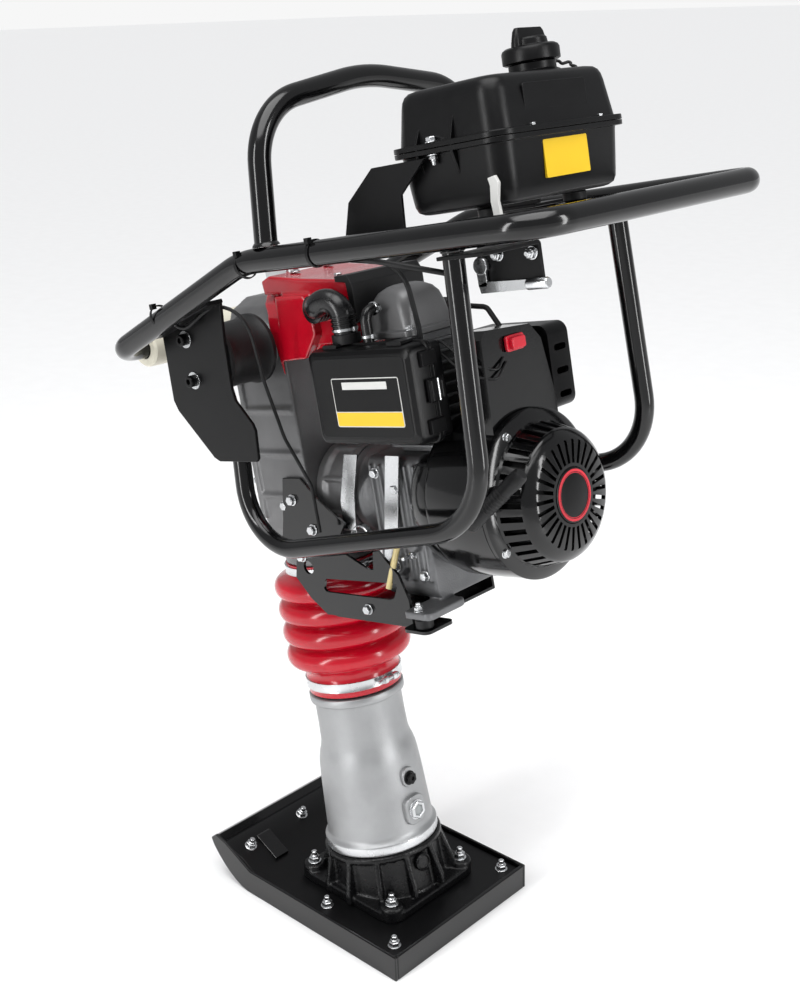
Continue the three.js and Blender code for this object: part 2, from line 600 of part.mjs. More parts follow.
// ---- fuel tank ----
function tankShell(low, high, lowInset, highInset) {
  const { front, rear, halfWidth } = TANK;
  const section = (inset) =>
    rounded(rear + inset, -halfWidth + inset, front - inset, halfWidth - inset, TANK.cornerR - inset / 2, 4);
  const a = section(lowInset);
  const b = section(highInset);
  const n = a.length;
  const points = [...a.map(([x, y]) => [x, y, low]), ...b.map(([x, y]) => [x, y, high])];
  const faces = [];
  for (let i = 0; i < n; i++) {
    const j = (i + 1) % n;
    faces.push(i, j, n + j, i, n + j, n + i);
  }
  for (let i = 1; i < n - 1; i++) faces.push(0, i + 1, i, n, n + i, n + i + 1);
  const geometry = new THREE.BufferGeometry();
  geometry.setAttribute("position", new THREE.BufferAttribute(new Float32Array(points.flat()), 3));
  geometry.setIndex(faces);
  return geometry;
}
const seamFlange = (low, high) => tankShell(low, high, -5, -5);
add(leg, "tank_lower",
  cut(join(tankShell(TANK.bottom, TANK.seam, 6, 2), seamFlange(TANK.seam - 6, TANK.seam)),
    tankShell(TANK.bottom + 5, TANK.seam + 1, 11, 7)), blackPlastic());
const capAt = (z) => [-428, -50, z];
add(leg, "tank_upper",
  cut(join(tankShell(TANK.seam + GAP, TANK.top, 2, 8), seamFlange(TANK.seam + GAP, TANK.seam + 6)),
    tankShell(TANK.seam, TANK.top - 5, 7, 13), rod(capAt(TANK.top - 8), capAt(TANK.top + 2), 21, 18)),
  blackPlastic());
const neck = rod(capAt(TANK.top + GAP), capAt(TANK.top + 13), 27, 20);
add(leg, "filler_neck", cut(neck, rod(capAt(TANK.top), capAt(TANK.top + 14), 20, 18)), blackPlastic());
const wing = block([-431.5, -78, 1150], [-424.5, -22, 1171]);
const capBody = rod(capAt(TANK.top + 13 + GAP), capAt(1151), 33, 20);
add(leg, "fuel_cap", join(capBody, rod(capAt(1150), capAt(1160), 20, 18), wing), blackPlastic());

function tankBracket(sign) {
  const outline = [[-262, 976], [-276, 1014], [-321, 1047], [-402, 1047], [-360, 1013], [-357, 976]];
  const reach = HANDLE.halfWidth - HANDLE.tubeR - GAP;
  const [y0, y1] = [sign * 119, sign * 123].sort((a, b) => a - b);
  const [c0, c1] = [sign * 119, sign * reach].sort((a, b) => a - b);
  const foot = block([-350, c0, 972], [-262, c1, 976]);
  return join(sideplate(outline, y0, y1), foot, block([-350, y0, 972], [-262, y1, 990]));
}
add(leg, "tank_bracket_left", tankBracket(1), blackPaint());
add(leg, "tank_bracket_right", tankBracket(-1), blackPaint());

// ---- throttle ----
function throttleBracket() {
  const outline = [[-455, 905], [-540, 905], [-540, 948], [-455, 948]];
  const plate = sideplate(outline, 118, 122, [[-463, 940, 4], [-530, 940, 4]]);
  return join(plate, block([-540, 120, 944], [-478, 210, 948]));
}

// A lever with a cable arm at one end and a finger barrel at the other.
function throttleLever() {
  const { x, height } = LEVER;
  return join(
    rod([x, 122 + GAP, height], [x, 128, height], 9, 16),
    block([x - 6, 123, 906], [x + 6, 127, height + 2]),
    block([-530, 123, 900], [x + 6, 127, 910]),
    rod([-524, 129, 905], [-552, 129, 905], 6, 12),
  );
}

// The cable runs forwards along the handle tube, crosses over the hood and drops to the carburettor.
const cablePath = [
  [-440, 132, 920],
  [-384, 176, 944, 60],
  [-300, 184, 962, 80],
  [-172, 184, 962, 80],
  [18, 184, 907, 40],
  [4, 96, 950, 34],
  [-150, 80, 956, 60],
  [-292, 68, 936, 40],
  [-292, 57, 860, 30],
  [-292, 57, 800 + GAP],
];

add(leg, "throttle_bracket", throttleBracket(), blackPaint());
add(leg, "throttle_lever", throttleLever(), steel());
add(leg, "throttle_cable", tube(cablePath, 3.2, 6, 3), rubber());

export default rammer;
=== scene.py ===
import json
import math

import bmesh
import bpy
from mathutils import Matrix, Vector

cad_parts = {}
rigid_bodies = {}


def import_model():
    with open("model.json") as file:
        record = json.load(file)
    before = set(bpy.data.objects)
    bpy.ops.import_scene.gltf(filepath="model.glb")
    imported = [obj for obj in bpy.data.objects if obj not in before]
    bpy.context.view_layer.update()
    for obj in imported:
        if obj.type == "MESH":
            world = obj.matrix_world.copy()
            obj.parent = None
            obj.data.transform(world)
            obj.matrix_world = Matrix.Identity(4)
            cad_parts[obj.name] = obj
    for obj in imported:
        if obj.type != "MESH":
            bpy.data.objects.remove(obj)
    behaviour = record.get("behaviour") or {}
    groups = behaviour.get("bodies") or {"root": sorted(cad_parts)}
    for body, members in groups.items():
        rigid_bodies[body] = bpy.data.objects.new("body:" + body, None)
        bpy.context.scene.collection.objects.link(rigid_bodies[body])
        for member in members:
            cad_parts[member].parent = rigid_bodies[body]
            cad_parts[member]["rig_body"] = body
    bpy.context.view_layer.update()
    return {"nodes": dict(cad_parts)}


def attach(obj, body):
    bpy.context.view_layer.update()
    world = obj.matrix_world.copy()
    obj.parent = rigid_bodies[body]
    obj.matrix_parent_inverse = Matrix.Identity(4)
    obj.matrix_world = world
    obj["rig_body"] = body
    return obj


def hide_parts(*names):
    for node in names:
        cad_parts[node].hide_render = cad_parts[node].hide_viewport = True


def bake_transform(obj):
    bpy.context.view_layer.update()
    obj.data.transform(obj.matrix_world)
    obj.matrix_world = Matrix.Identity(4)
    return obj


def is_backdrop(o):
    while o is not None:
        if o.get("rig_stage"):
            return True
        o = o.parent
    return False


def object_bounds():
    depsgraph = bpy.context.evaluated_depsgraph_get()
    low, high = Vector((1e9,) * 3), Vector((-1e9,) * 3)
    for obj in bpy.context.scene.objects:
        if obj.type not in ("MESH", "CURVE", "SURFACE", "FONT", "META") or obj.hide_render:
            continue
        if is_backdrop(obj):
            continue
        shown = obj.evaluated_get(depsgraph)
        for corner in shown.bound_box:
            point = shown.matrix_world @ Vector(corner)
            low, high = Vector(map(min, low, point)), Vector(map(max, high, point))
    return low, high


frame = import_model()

# ---- the leg's frame: u forwards across the leg, y to the left, w up the leg, in millimetres ----
RAKE = math.radians(10.3)
LEAN = Matrix.Translation((-10.3, 0, 0)) @ Matrix.Rotation(RAKE, 4, "Y")
LEVEL = Matrix.Identity(4)
MM = 0.001
SHAFT = 642  # height of the engine's shaft and the clutch
CRANK = 722  # height of the crank's axis
MOUNT_AT = (-20, 0, 850)  # where the axis of the front rubber mounts crosses the middle


# ---- materials ----
def node_material(name, colour, rough, metal=0.0, coat=0.0, grain=500.0, bump=0.05, mottle=0.15, vary=0.08, spec=0.5):
    """A finish with fine grain, worn patches that are lighter and darker in tone, and uneven roughness."""
    mat = bpy.data.materials.new(name)
    mat.use_nodes = True
    nodes, links = mat.node_tree.nodes, mat.node_tree.links
    shader = nodes["Principled BSDF"]
    shader.inputs["Metallic"].default_value = metal
    shader.inputs["Coat Weight"].default_value = coat
    shader.inputs["Coat Roughness"].default_value = 0.08
    shader.inputs["Specular IOR Level"].default_value = spec
    place = nodes.new("ShaderNodeTexCoord")

    def noise(scale, detail=3.0):
        made = nodes.new("ShaderNodeTexNoise")
        made.inputs["Scale"].default_value = scale
        made.inputs["Detail"].default_value = detail
        links.new(place.outputs["Object"], made.inputs["Vector"])
        return made.outputs["Fac"]

    ramp = nodes.new("ShaderNodeValToRGB")
    dark = [c * (1 - mottle) for c in colour]
    light = [min(1.0, c * (1 + mottle)) for c in colour]
    ramp.color_ramp.elements[0].position = 0.35
    ramp.color_ramp.elements[1].position = 0.68
    ramp.color_ramp.elements[0].color = (*dark, 1)
    ramp.color_ramp.elements[1].color = (*light, 1)
    links.new(noise(14.0, 5.0), ramp.inputs["Fac"])
    links.new(ramp.outputs["Color"], shader.inputs["Base Color"])
    spread = nodes.new("ShaderNodeMapRange")
    spread.inputs["To Min"].default_value = max(0.02, rough - vary)
    spread.inputs["To Max"].default_value = min(1.0, rough + vary)
    links.new(noise(60.0, 4.0), spread.inputs["Value"])
    links.new(spread.outputs["Result"], shader.inputs["Roughness"])
    relief = nodes.new("ShaderNodeBump")
    relief.inputs["Strength"].default_value = bump
    relief.inputs["Distance"].default_value = 0.001
    links.new(noise(grain, 2.0), relief.inputs["Height"])
    links.new(relief.outputs["Normal"], shader.inputs["Normal"])
    return mat


PAINT = node_material("black_gloss_paint", (0.0018, 0.0018, 0.002), 0.15, coat=0.2, grain=350, bump=0.03, vary=0.05,
                      spec=0.35)
SATIN = node_material("black_satin_paint", (0.0022, 0.0022, 0.0025), 0.33, grain=700, bump=0.10, spec=0.2)
IRON = node_material("black_cast_iron", (0.003, 0.003, 0.0034), 0.28, grain=420, bump=0.5, vary=0.12, spec=0.3)
PLASTIC = node_material("black_moulded_plastic", (0.0024, 0.0024, 0.0027), 0.32, grain=1500, bump=0.12, spec=0.22)
CAST = node_material("cast_aluminium", (0.34, 0.345, 0.35), 0.42, metal=0.75, grain=900, bump=0.28, mottle=0.1)
CASE_CAST = node_material("grey_cast_aluminium", (0.15, 0.15, 0.152), 0.4, metal=0.55, grain=800, bump=0.3,
                          mottle=0.12)
ROUGH_CAST = node_material("rough_cast_aluminium", (0.15, 0.152, 0.156), 0.48, metal=0.7, grain=500, bump=0.5,
                           mottle=0.2)
BARE = node_material("machined_aluminium", (0.62, 0.63, 0.64), 0.28, metal=0.95, grain=900, bump=0.05, mottle=0.06)
ZINC = node_material("zinc_plated_steel", (0.60, 0.61, 0.62), 0.26, metal=1.0, grain=600, bump=0.05)
STEEL = node_material("brushed_steel", (0.5, 0.5, 0.51), 0.3, metal=1.0, grain=800, bump=0.06)
RED_RUBBER = node_material("red_rubber", (0.42, 0.001, 0.012), 0.2, coat=0.2, grain=300, bump=0.04, mottle=0.1,
                           spec=0.4)
RED_PAINT = node_material("red_paint", (0.40, 0.002, 0.012), 0.22, coat=0.5, grain=500, bump=0.1, mottle=0.08)
RED_PLASTIC = node_material("red_plastic", (0.5, 0.006, 0.02), 0.25, coat=0.3, grain=900, bump=0.05)
RUBBER = node_material("black_rubber", (0.006, 0.006, 0.0065), 0.5, grain=900, bump=0.2, vary=0.1, spec=0.3)
HOSE_RUBBER = node_material("glossy_black_rubber", (0.005, 0.005, 0.0055), 0.26, grain=600, bump=0.06, spec=0.45)
FOAM = node_material("filter_foam", (0.22, 0.22, 0.14), 0.95, grain=260, bump=1.0, mottle=0.3)
HOT = node_material("heat_dulled_steel", (0.16, 0.15, 0.14), 0.5, metal=0.9, grain=400, bump=0.2, mottle=0.3)
NYLON = node_material("cream_nylon", (0.66, 0.63, 0.52), 0.42, grain=500, bump=0.1, mottle=0.06)
YELLOW = node_material("yellow_film", (0.75, 0.48, 0.01), 0.35, grain=900, bump=0.02, mottle=0.03)
SILVER = node_material("silver_film", (0.62, 0.62, 0.60), 0.35, metal=0.2, grain=900, bump=0.02, mottle=0.04)
HOSE = node_material("clear_yellow_tube", (0.55, 0.45, 0.2), 0.2, coat=0.4, grain=300, bump=0.03)
GLASS = node_material("sight_window", (0.25, 0.27, 0.27), 0.08, coat=0.8, grain=200, bump=0.01)
FLOOR = node_material("pale_floor", (0.93, 0.93, 0.93), 0.7, grain=60, bump=0.01, mottle=0.01)


# ---- mesh building ----
class Shape:
    """Closed shells added up in millimetres, in the leg's frame unless matrix says otherwise."""

    def __init__(self, matrix=LEAN):
        self.bm = bmesh.new()
        self.matrix = matrix

    def shell(self, points, faces, matrix=None):
        m = matrix or self.matrix
        verts = [self.bm.verts.new(m @ Vector(p)) for p in points]
        for face in faces:
            self.bm.faces.new([verts[i] for i in face])
        return self

    def box(self, a, b):
        lo = [min(p, q) for p, q in zip(a, b)]
        hi = [max(p, q) for p, q in zip(a, b)]
        points = [(x, y, z) for x in (lo[0], hi[0]) for y in (lo[1], hi[1]) for z in (lo[2], hi[2])]
        faces = [(0, 1, 3, 2), (4, 6, 7, 5), (0, 4, 5, 1), (2, 3, 7, 6), (0, 2, 6, 4), (1, 5, 7, 3)]
        return self.shell(points, faces)

    def prism(self, outline, axis, a, b, matrix=None):
        """A flat outline given thickness along an axis: [u, w] along y, [y, w] along x, [u, y] along z."""
        lift = {
            "y": lambda p, t: (p[0], t, p[1]),
            "x": lambda p, t: (t, p[0], p[1]),
            "z": lambda p, t: (p[0], p[1], t),
        }
        n = len(outline)
        points = [lift[axis](p, a) for p in outline] + [lift[axis](p, b) for p in outline]
        sides = [(i, (i + 1) % n, n + (i + 1) % n, n + i) for i in range(n)]
        return self.shell(points, [tuple(range(n)), tuple(range(2 * n - 1, n - 1, -1)), *sides], matrix)

    def loft(self, loops):
        """Loops of points of equal count, joined in order and capped."""
        n = len(loops[0])
        faces = []
        for k in range(len(loops) - 1):
            for i in range(n):
                j = (i + 1) % n
                faces.append((k * n + i, k * n + j, (k + 1) * n + j, (k + 1) * n + i))
        last = (len(loops) - 1) * n
        faces += [tuple(range(n - 1, -1, -1)), tuple(range(last, last + n))]
        return self.shell([p for loop in loops for p in loop], faces)

    def lathe(self, profile, n=48, at=(0, 0, 0), axis=(0, 0, 1), ring=False):
        """A turned piece from (radius, height) points; with ring it closes on itself and has no caps."""
        turn = Vector((0, 0, 1)).rotation_difference(Vector(axis)).to_matrix()
        loops = []
        for r, h in profile:
            loop = []
            for i in range(n):
                angle = 2 * math.pi * i / n
                loop.append(Vector(at) + turn @ Vector((r * math.cos(angle), r * math.sin(angle), h)))
            loops.append(loop)
        if not ring:
            return self.loft(loops)
        k = len(loops)
        faces = []
        for a in range(k):
            for i in range(n):
                j = (i + 1) % n
                b = (a + 1) % k
                faces.append((a * n + i, a * n + j, b * n + j, b * n + i))
        return self.shell([p for loop in loops for p in loop], faces)

    def rod(self, a, b, radius, end=None, n=24):
        length = (Vector(b) - Vector(a)).length
        axis = (Vector(b) - Vector(a)).normalized()
        return self.lathe([(radius, 0), (radius if end is None else end, length)], n, a, axis)

    def sweep(self, points, radius, n=20, ripple=None):
        """A tube along points; ripple is (depth, pitch) for a corrugated one."""
        pts = [Vector(p) for p in points]
        tangents = []
        for i in range(len(pts)):
            tangents.append((pts[min(i + 1, len(pts) - 1)] - pts[max(i - 1, 0)]).normalized())
        side = tangents[0].orthogonal().normalized()
        loops, run = [], 0.0
        for i, (p, t) in enumerate(zip(pts, tangents)):
            side = (side - t * side.dot(t)).normalized()
            other = t.cross(side)
            if i:
                run += (p - pts[i - 1]).length
            r = radius + (ripple[0] * math.cos(2 * math.pi * run / ripple[1]) if ripple else 0)
            loops.append([p + side * (r * math.cos(2 * math.pi * k / n)) + other * (r * math.sin(2 * math.pi * k / n))
                          for k in range(n)])
        return self.loft(loops)

    def bolt(self, at, axis, size=6.0, stud=0.0, washer=True):
        """A washer, a hexagon and, for a nut on a stud, the thread standing out of it."""
        at, axis = Vector(at), Vector(axis).normalized()
        step = 0.0
        if washer:
            self.lathe([(size * 1.05, 0), (size * 1.15, 0.4), (size * 1.15, 1.2), (size * 1.05, 1.6)], 24, at, axis)
            step = 1.6
        deep = size * 0.8
        top = step + deep
        head = [(size * 0.86, step), (size * 0.98, step + 0.6), (size * 0.98, top - 1), (size * 0.8, top)]
        self.lathe(head, 6, at, axis)
        if stud:
            self.lathe([(size * 0.66, step + deep - 0.2), (size * 0.66, step + deep + size * 0.25),
                        (size * 0.5, step + deep + size * 0.35)], 20, at, axis)
            self.lathe([(size * 0.5, step), (size * 0.5, step + deep + stud), (size * 0.38, step + deep + stud + 1)],
                       16, at, axis)
        return self


def rounded(x0, y0, x1, y1, r, steps=6):
    """Corners of a box outline with its corners rounded."""
    made = []
    for cx, cy, start in ((x1 - r, y0 + r, -90), (x1 - r, y1 - r, 0), (x0 + r, y1 - r, 90), (x0 + r, y0 + r, 180)):
        for i in range(steps + 1):
            angle = math.radians(start + 90 * i / steps)
            made.append((cx + r * math.cos(angle), cy + r * math.sin(angle)))
    return made


def bent(corners, steps=12, spacing=0.0):
    """Straight runs joined by round bends: each corner is (u, y, w, bend radius)."""
    at = [Vector(c[:3]) for c in corners]
    path = [at[0]]
    for i in range(1, len(at) - 1):
        back, ahead = (at[i - 1] - at[i]).normalized(), (at[i + 1] - at[i]).normalized()
        half = back.angle(ahead) / 2
        r = corners[i][3]
        centre = at[i] + (back + ahead).normalized() * (r / math.sin(half))
        first = at[i] + back * (r / math.tan(half)) - centre
        axis = back.cross(ahead).normalized()
        for s in range(steps + 1):
            path.append(centre + Matrix.Rotation((half * 2 - math.pi) * s / steps, 3, axis) @ first)
    path.append(at[-1])
    if not spacing:
        return path
    fine = [path[0]]
    for a, b in zip(path, path[1:]):
        pieces = max(1, round((b - a).length / spacing))
        fine += [a.lerp(b, (k + 1) / pieces) for k in range(pieces)]
    return fine


def new_object(name, bm):
    mesh = bpy.data.meshes.new(name)
    bm.to_mesh(mesh)
    obj = bpy.data.objects.new(name, mesh)
    bpy.context.scene.collection.objects.link(obj)
    return obj


def carve(shape, cutter):
    """shape with cutter's shells taken out of it."""
    bmesh.ops.recalc_face_normals(shape.bm, faces=shape.bm.faces[:])
    bmesh.ops.recalc_face_normals(cutter.bm, faces=cutter.bm.faces[:])
    a, b = new_object("carved", shape.bm), new_object("cutter", cutter.bm)
    tool = a.modifiers.new("cut", "BOOLEAN")
    tool.object, tool.operation, tool.solver, tool.use_self = b, "DIFFERENCE", "EXACT", True
    bpy.context.view_layer.update()
    mesh = bpy.data.meshes.new_from_object(a.evaluated_get(bpy.context.evaluated_depsgraph_get()))
    shape.bm.clear()
    shape.bm.from_mesh(mesh)
    bpy.data.objects.remove(a)
    bpy.data.objects.remove(b)
    return shape


def piece(name, shape, mat, body, nodes=(), bevel=0.0, segments=2, voxel=0.0, soften=4, crease=35):
    """One finished piece: bevelled or, for a casting, remeshed so that its parts flow together."""
    bm = shape.bm
    bmesh.ops.recalc_face_normals(bm, faces=bm.faces[:])
    bmesh.ops.scale(bm, vec=(MM, MM, MM), verts=bm.verts[:])
    obj = new_object(name, bm)
    bm.free()
    if voxel:
        remesh = obj.modifiers.new("cast", "REMESH")
        remesh.mode, remesh.voxel_size, remesh.use_smooth_shade = "VOXEL", voxel * MM, True
        smooth = obj.modifiers.new("soften", "SMOOTH")
        smooth.factor, smooth.iterations = 0.5, soften
        bpy.context.view_layer.update()
        mesh = bpy.data.meshes.new_from_object(obj.evaluated_get(bpy.context.evaluated_depsgraph_get()))
        obj.modifiers.clear()
        obj.data = mesh
    if bevel:
        edge = obj.modifiers.new("edges", "BEVEL")
        edge.width, edge.segments, edge.limit_method = bevel * MM, segments, "ANGLE"
        edge.angle_limit, edge.harden_normals = math.radians(30), True
    mesh = obj.data
    mesh.materials.clear()
    mesh.materials.append(mat)
    mesh.shade_smooth()
    if not voxel:
        mesh.set_sharp_from_angle(angle=math.radians(crease))
    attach(obj, body)
    if nodes:
        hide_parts(*nodes)
    return obj


UP = "upper_unit"

# ---- shoe ----
SOLE = [(-150, 0), (160, 0), (173, 2.5), (186, 8), (200, 16.5), (212, 26), (224, 38), (234, 50), (240, 62)]
INNER = [(231, 66), (220, 50), (205, 34), (193, 23), (181, 15), (157, 6), (-144, 6)]
pan = Shape(LEVEL)
pan.prism([*SOLE, *INNER, (-144, 39), (-150, 39)], "y", -137.6, 137.6)
for side in (-1, 1):
    pan.prism([*SOLE, (228, 72), (206, 66), (152, 39), (-150, 39)], "y", side * 142.5, side * 137.5)
piece("shoe_tray", pan, PAINT, "foot", ["shoe_pan"], bevel=1.8, segments=3)
core = Shape(LEVEL)
core.prism([(-143.5, 6.5), (156, 6.5), (180, 15.7), (204, 34.8), (222, 57.5), (210, 60), (176, 50), (146, 33),
            (-143.5, 33)], "y", -137, 137)
piece("shoe_core_block", core, SATIN, "foot", ["shoe_core"], bevel=2.5, segments=3)
nuts = Shape(LEVEL)
RAMP = (-0.36, 0, 0.93)
for x, y, z in ((186, 109, 53), (189, 0, 54), (186, -109, 53)):
    nuts.bolt((x, y, z), RAMP, 8.2, stud=7)
for side in (-1, 1):
    nuts.bolt((11, side * 116, 33), (0, 0, 1), 8.2, stud=7)
    nuts.bolt((-124, side * 117, 33), (0, 0, 1), 8.2, stud=7)
    nuts.bolt((80, side * 74, 56), (0, 0, 1), 8.6, stud=8)
    nuts.bolt((-79, side * 74, 56), (0, 0, 1), 8.6, stud=8)
piece("shoe_nuts", nuts, ZINC, "foot", bevel=0.3)
tab = Shape(LEVEL)
tab.prism([(150, 34.5), (192, 54.5), (193.5, 59), (190, 60), (148, 38.5)], "y", 66, 92)
piece("toe_clip", tab, PAINT, "foot", bevel=1)

# ---- foot casting ----
casting = Shape(LEVEL)
casting.prism(rounded(-98, -92, 98, 92, 26), "z", 33.6, 47)
leg_foot = LEAN @ Vector((0, 0, 0))
leg_axis = LEAN.to_3x3() @ Vector((0, 0, 1))
casting.lathe([(84, 12), (84, 40), (82, 70), (80.5, 103.4)], 64, leg_foot, leg_axis)
casting.lathe([(86, 94), (87.5, 96), (87.5, 101), (86, 103.4)], 64, leg_foot, leg_axis)
for k in range(12):
    turn = Matrix.Rotation(math.radians(30 * k + 8), 4, "Z")
    casting.prism([(60, 36), (101, 36), (101, 50), (88, 94), (60, 96)], "y", -3.6, 3.6, LEAN @ turn)
for x in (-79, 80):
    for y in (-74, 74):
        casting.lathe([(17, 33.6), (17, 52), (15, 55.6)], 32, (x, y, 0))
trim = Shape(LEVEL)
trim.box((-130, -110, -20), (130, 110, 33.4))
piece("foot_casting_body", carve(casting, trim), IRON, "foot", ["foot_casting"], voxel=1.7, soften=5)
plug = Shape()
plug.lathe([(13, 0), (13, 5), (10, 7), (9, 4), (6, 4)], 32, (-82.5, 8, 78), (-1, 0.1, 0.1))
piece("drain_plug", plug, IRON, "foot", bevel=0.5)

# ---- spring cylinder ----
barrel = Shape()
barrel.lathe([(55, 114), (55, 330), (60, 340), (68, 340), (69, 339), (69, 329.4), (68.4, 328.2), (64, 327), (63.3, 322),
              (63.5, 290), (64.4, 265), (66.2, 256), (69.2, 247), (71.4, 238), (72.6, 229), (74.4, 205), (75.8, 178),
              (77.2, 150), (78.2, 128), (79, 122), (82.6, 119.6), (83.4, 118), (83.4, 106), (82.4, 104.3), (10, 104.3),
              (10, 114)], 96, ring=True)
piece("spring_cylinder_body", barrel, CAST, "foot", ["spring_cylinder"], crease=50)
rim = Shape()
rim.lathe([(83.55, 106.5), (83.7, 107), (83.7, 117), (83.55, 117.5), (82, 117.5), (82, 106.5)], 96, ring=True)
piece("cylinder_base_ring", rim, BARE, "foot")
boss = Shape()
boss.prism(rounded(-19, 136, 19, 178, 12), "x", -82, -70)
boss.prism(rounded(-12, 192, 12, 222, 11), "x", -78.4, -66)
piece("cylinder_bosses", boss, CAST, "foot", voxel=1.2, soften=4)
sight = Shape()
SIGHT_AT = (-82, 0, 157)
REARWARDS = (-1, 0, 0)
sight.lathe([(14, 0), (14, 4.5), (12.5, 5.5), (9, 5.5), (8.2, 3.6), (8.2, 0)], 6, SIGHT_AT, REARWARDS, ring=True)
sight.lathe([(14.8, -0.5), (14.8, 1.2), (8.4, 1.2), (8.4, -0.5)], 32, SIGHT_AT, REARWARDS, ring=True)
piece("sight_glass_ring", sight, ZINC, "foot", ["sight_glass"], bevel=0.5)
window = Shape()
window.lathe([(8.3, 0), (8.3, 2.6), (6.5, 3.4), (0.5, 3.7)], 32, SIGHT_AT, REARWARDS)
piece("sight_glass_window", window, GLASS, "foot")
vent = Shape()
VENT_AT = (-78.4, 0, 206)
vent.lathe([(10.5, 0), (10.5, 1.5), (8, 2)], 32, VENT_AT, REARWARDS)
vent.lathe([(8.5, 1.5), (9, 2.2), (9, 6.2), (7.5, 7.4), (3.2, 7.4), (3.2, 5)], 6, VENT_AT, REARWARDS)
piece("vent_bolt", vent, SATIN, "foot", ["vent_plug"], bevel=0.5)

# ---- bellows and clamps ----
def band(name, low, high, body, nodes):
    made = Shape()
    strip = [(67.8, low), (70.2, low + 0.4), (69.6, low + 2.5), (69.6, high - 2.5), (70.2, high - 0.4), (67.8, high)]
    made.lathe(strip, 80, ring=True)
    mid = (low + high) / 2
    made.prism(rounded(-78, mid - 5, -69, mid + 5, 3), "y", -12, -5)
    made.prism(rounded(-78, mid - 5, -69, mid + 5, 3), "y", 6, 12)
    made.rod((-74, -16, mid), (-74, 22, mid), 2.6, n=16)
    made.bolt((-74, 12, mid), (0, 1, 0), 4.4, washer=False)
    made.bolt((-74, -12, mid), (0, -1, 0), 4.6, washer=True)
    piece(name, made, ZINC, body, nodes, bevel=0.3)


fold_low, fold_high, folds = 384.0, 520.0, 4
pitch = (fold_high - fold_low) / folds
outer = [(67.4, 344), (67.4, 350), (68.4, 351), (68.4, 367), (67.4, 368), (67.6, 374), (71, 380)]
for k in range(folds):
    mid = fold_low + pitch * (k + 0.5)
    for s in range(-8, 9):
        t = s / 8
        outer.append((75.5 + 14.5 * math.sqrt(max(0, 1 - abs(t) ** 2.1)), mid + t * pitch * 0.455))
    if k < folds - 1:
        outer.append((74.6, mid + pitch * 0.5))
outer += [(70.5, 520.5), (67.6, 522), (67.6, 538)]
inner = [(64.5, 538), (64.5, 522)]
inner += [(71.8 + (13.5 if s % 2 else 0), 515 - s * pitch * 0.5) for s in range(0, 8)]
inner += [(64.5, 379), (64.5, 344)]
boot = Shape()
boot.lathe([*outer, *inner], 96, ring=True)
bellows = piece("bellows_boot", boot, RED_RUBBER, "foot", ["bellows"], crease=70)
bellows.parent = None
del bellows["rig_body"]
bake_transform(bellows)
band("lower_band", 352, 366, "foot", ["lower_band_clamp"])
band("upper_band", 524, 536, UP, ["upper_band_clamp"])

# ---- crankcase ----
CASE = [(-50, 560), (50, 560), (68, 592), (75, 625), (75, 862), (71, 884), (60, 900), (34, 912), (-34, 912), (-60, 900),
        (-71, 884), (-75, 862), (-75, 625), (-68, 592)]
case = Shape()
case.prism(CASE, "x", -62, 45)
case.lathe([(60, 523), (60, 566), (64, 580), (66, 600), (40, 610)], 64)
case.lathe([(64.5, 538), (66.5, 540), (66.5, 552), (64.5, 554)], 64)
for side in (-1, 1):
    case.lathe([(38, 70), (32, 77), (28, 84), (28, 89.4)], 40, MOUNT_AT, (0, side, 0))
    for w, tip in ((640, 6), (700, 6), (760, 6)):
        case.box((-58, side * 73, w), (40, side * (75 + tip * 0.6), w + 6))
    case.box((34, side * 70, 610), (45, side * 79, 880))
bore = Shape()
bore.lathe([(51, 500), (51, 640)], 48)
bore.prism([(y * 0.9, 736 + (w - 736) * 0.93) for y, w in CASE], "x", -50, 60)
piece("crankcase_body", carve(case, bore), CASE_CAST, UP, ["crankcase"], voxel=2.2, soften=3)
cover = Shape()
RIM = [(-52, 604), (52, 604), (69, 640), (69, 866), (55, 896), (-55, 896), (-69, 866), (-69, 640)]
cover.prism(RIM, "x", 45.4, 56)
cover.lathe([(56, 0), (50, 5), (44, 7), (38, 11), (14, 11), (12, 9)], 64, (55, 0, CRANK), (1, 0, 0))
piece("front_cover_plate", cover, CASE_CAST, UP, ["front_cover"], bevel=2.5, segments=3)
bolts = Shape()
for y, w in ((44, 612), (62, 660), (62, 740), (62, 820), (46, 884)):
    bolts.bolt((56, -y, w), (1, 0, 0), 6)
    bolts.bolt((56, y, w), (1, 0, 0), 6)
bolts.bolt((-8, 75, 630), (0, 1, 0), 6.5)
piece("crankcase_bolts", bolts, ZINC, UP, bevel=0.3)

# ---- red intake housing ----
hood = Shape()
hood.prism([(-66, 806), (-66, 913), (-30, 914), (-28, 932), (-44, 938), (-100, 931), (-182, 924), (-191, 915),
            (-196, 866), (-188, 842), (-160, 834), (-110, 826)], "y", -64, 64)
hood.prism([(-66, 806), (-104, 828), (-132, 860), (-130, 896), (-118, 910), (-66, 912)], "y", -79, 79)
ARCH_OUT = [(79, 806), (79, 868), (74, 886), (64, 902), (50, 913), (34, 920)]
ARCH_IN = [(32, 912.6), (48, 907), (60, 897), (70, 882), (75.4, 862), (75.4, 806)]
hood.prism([*ARCH_OUT, *[(-y, w) for y, w in reversed(ARCH_OUT)], *[(-y, w) for y, w in reversed(ARCH_IN)], *ARCH_IN],
           "x", -67, -10)
slope = Shape()
slope.prism([(-61, 800), (-51, 850), (-39, 888), (-8, 924), (8, 924), (8, 800)], "y", -90, 90)
slope.prism([(-120, 790), (-120, 838), (-104, 830), (-60, 828), (-60, 790)], "y", -90, 90)
piece("intake_hood", carve(hood, slope), RED_PAINT, UP, ["intake_housing"], voxel=1.5, soften=6)
skirt = Shape()
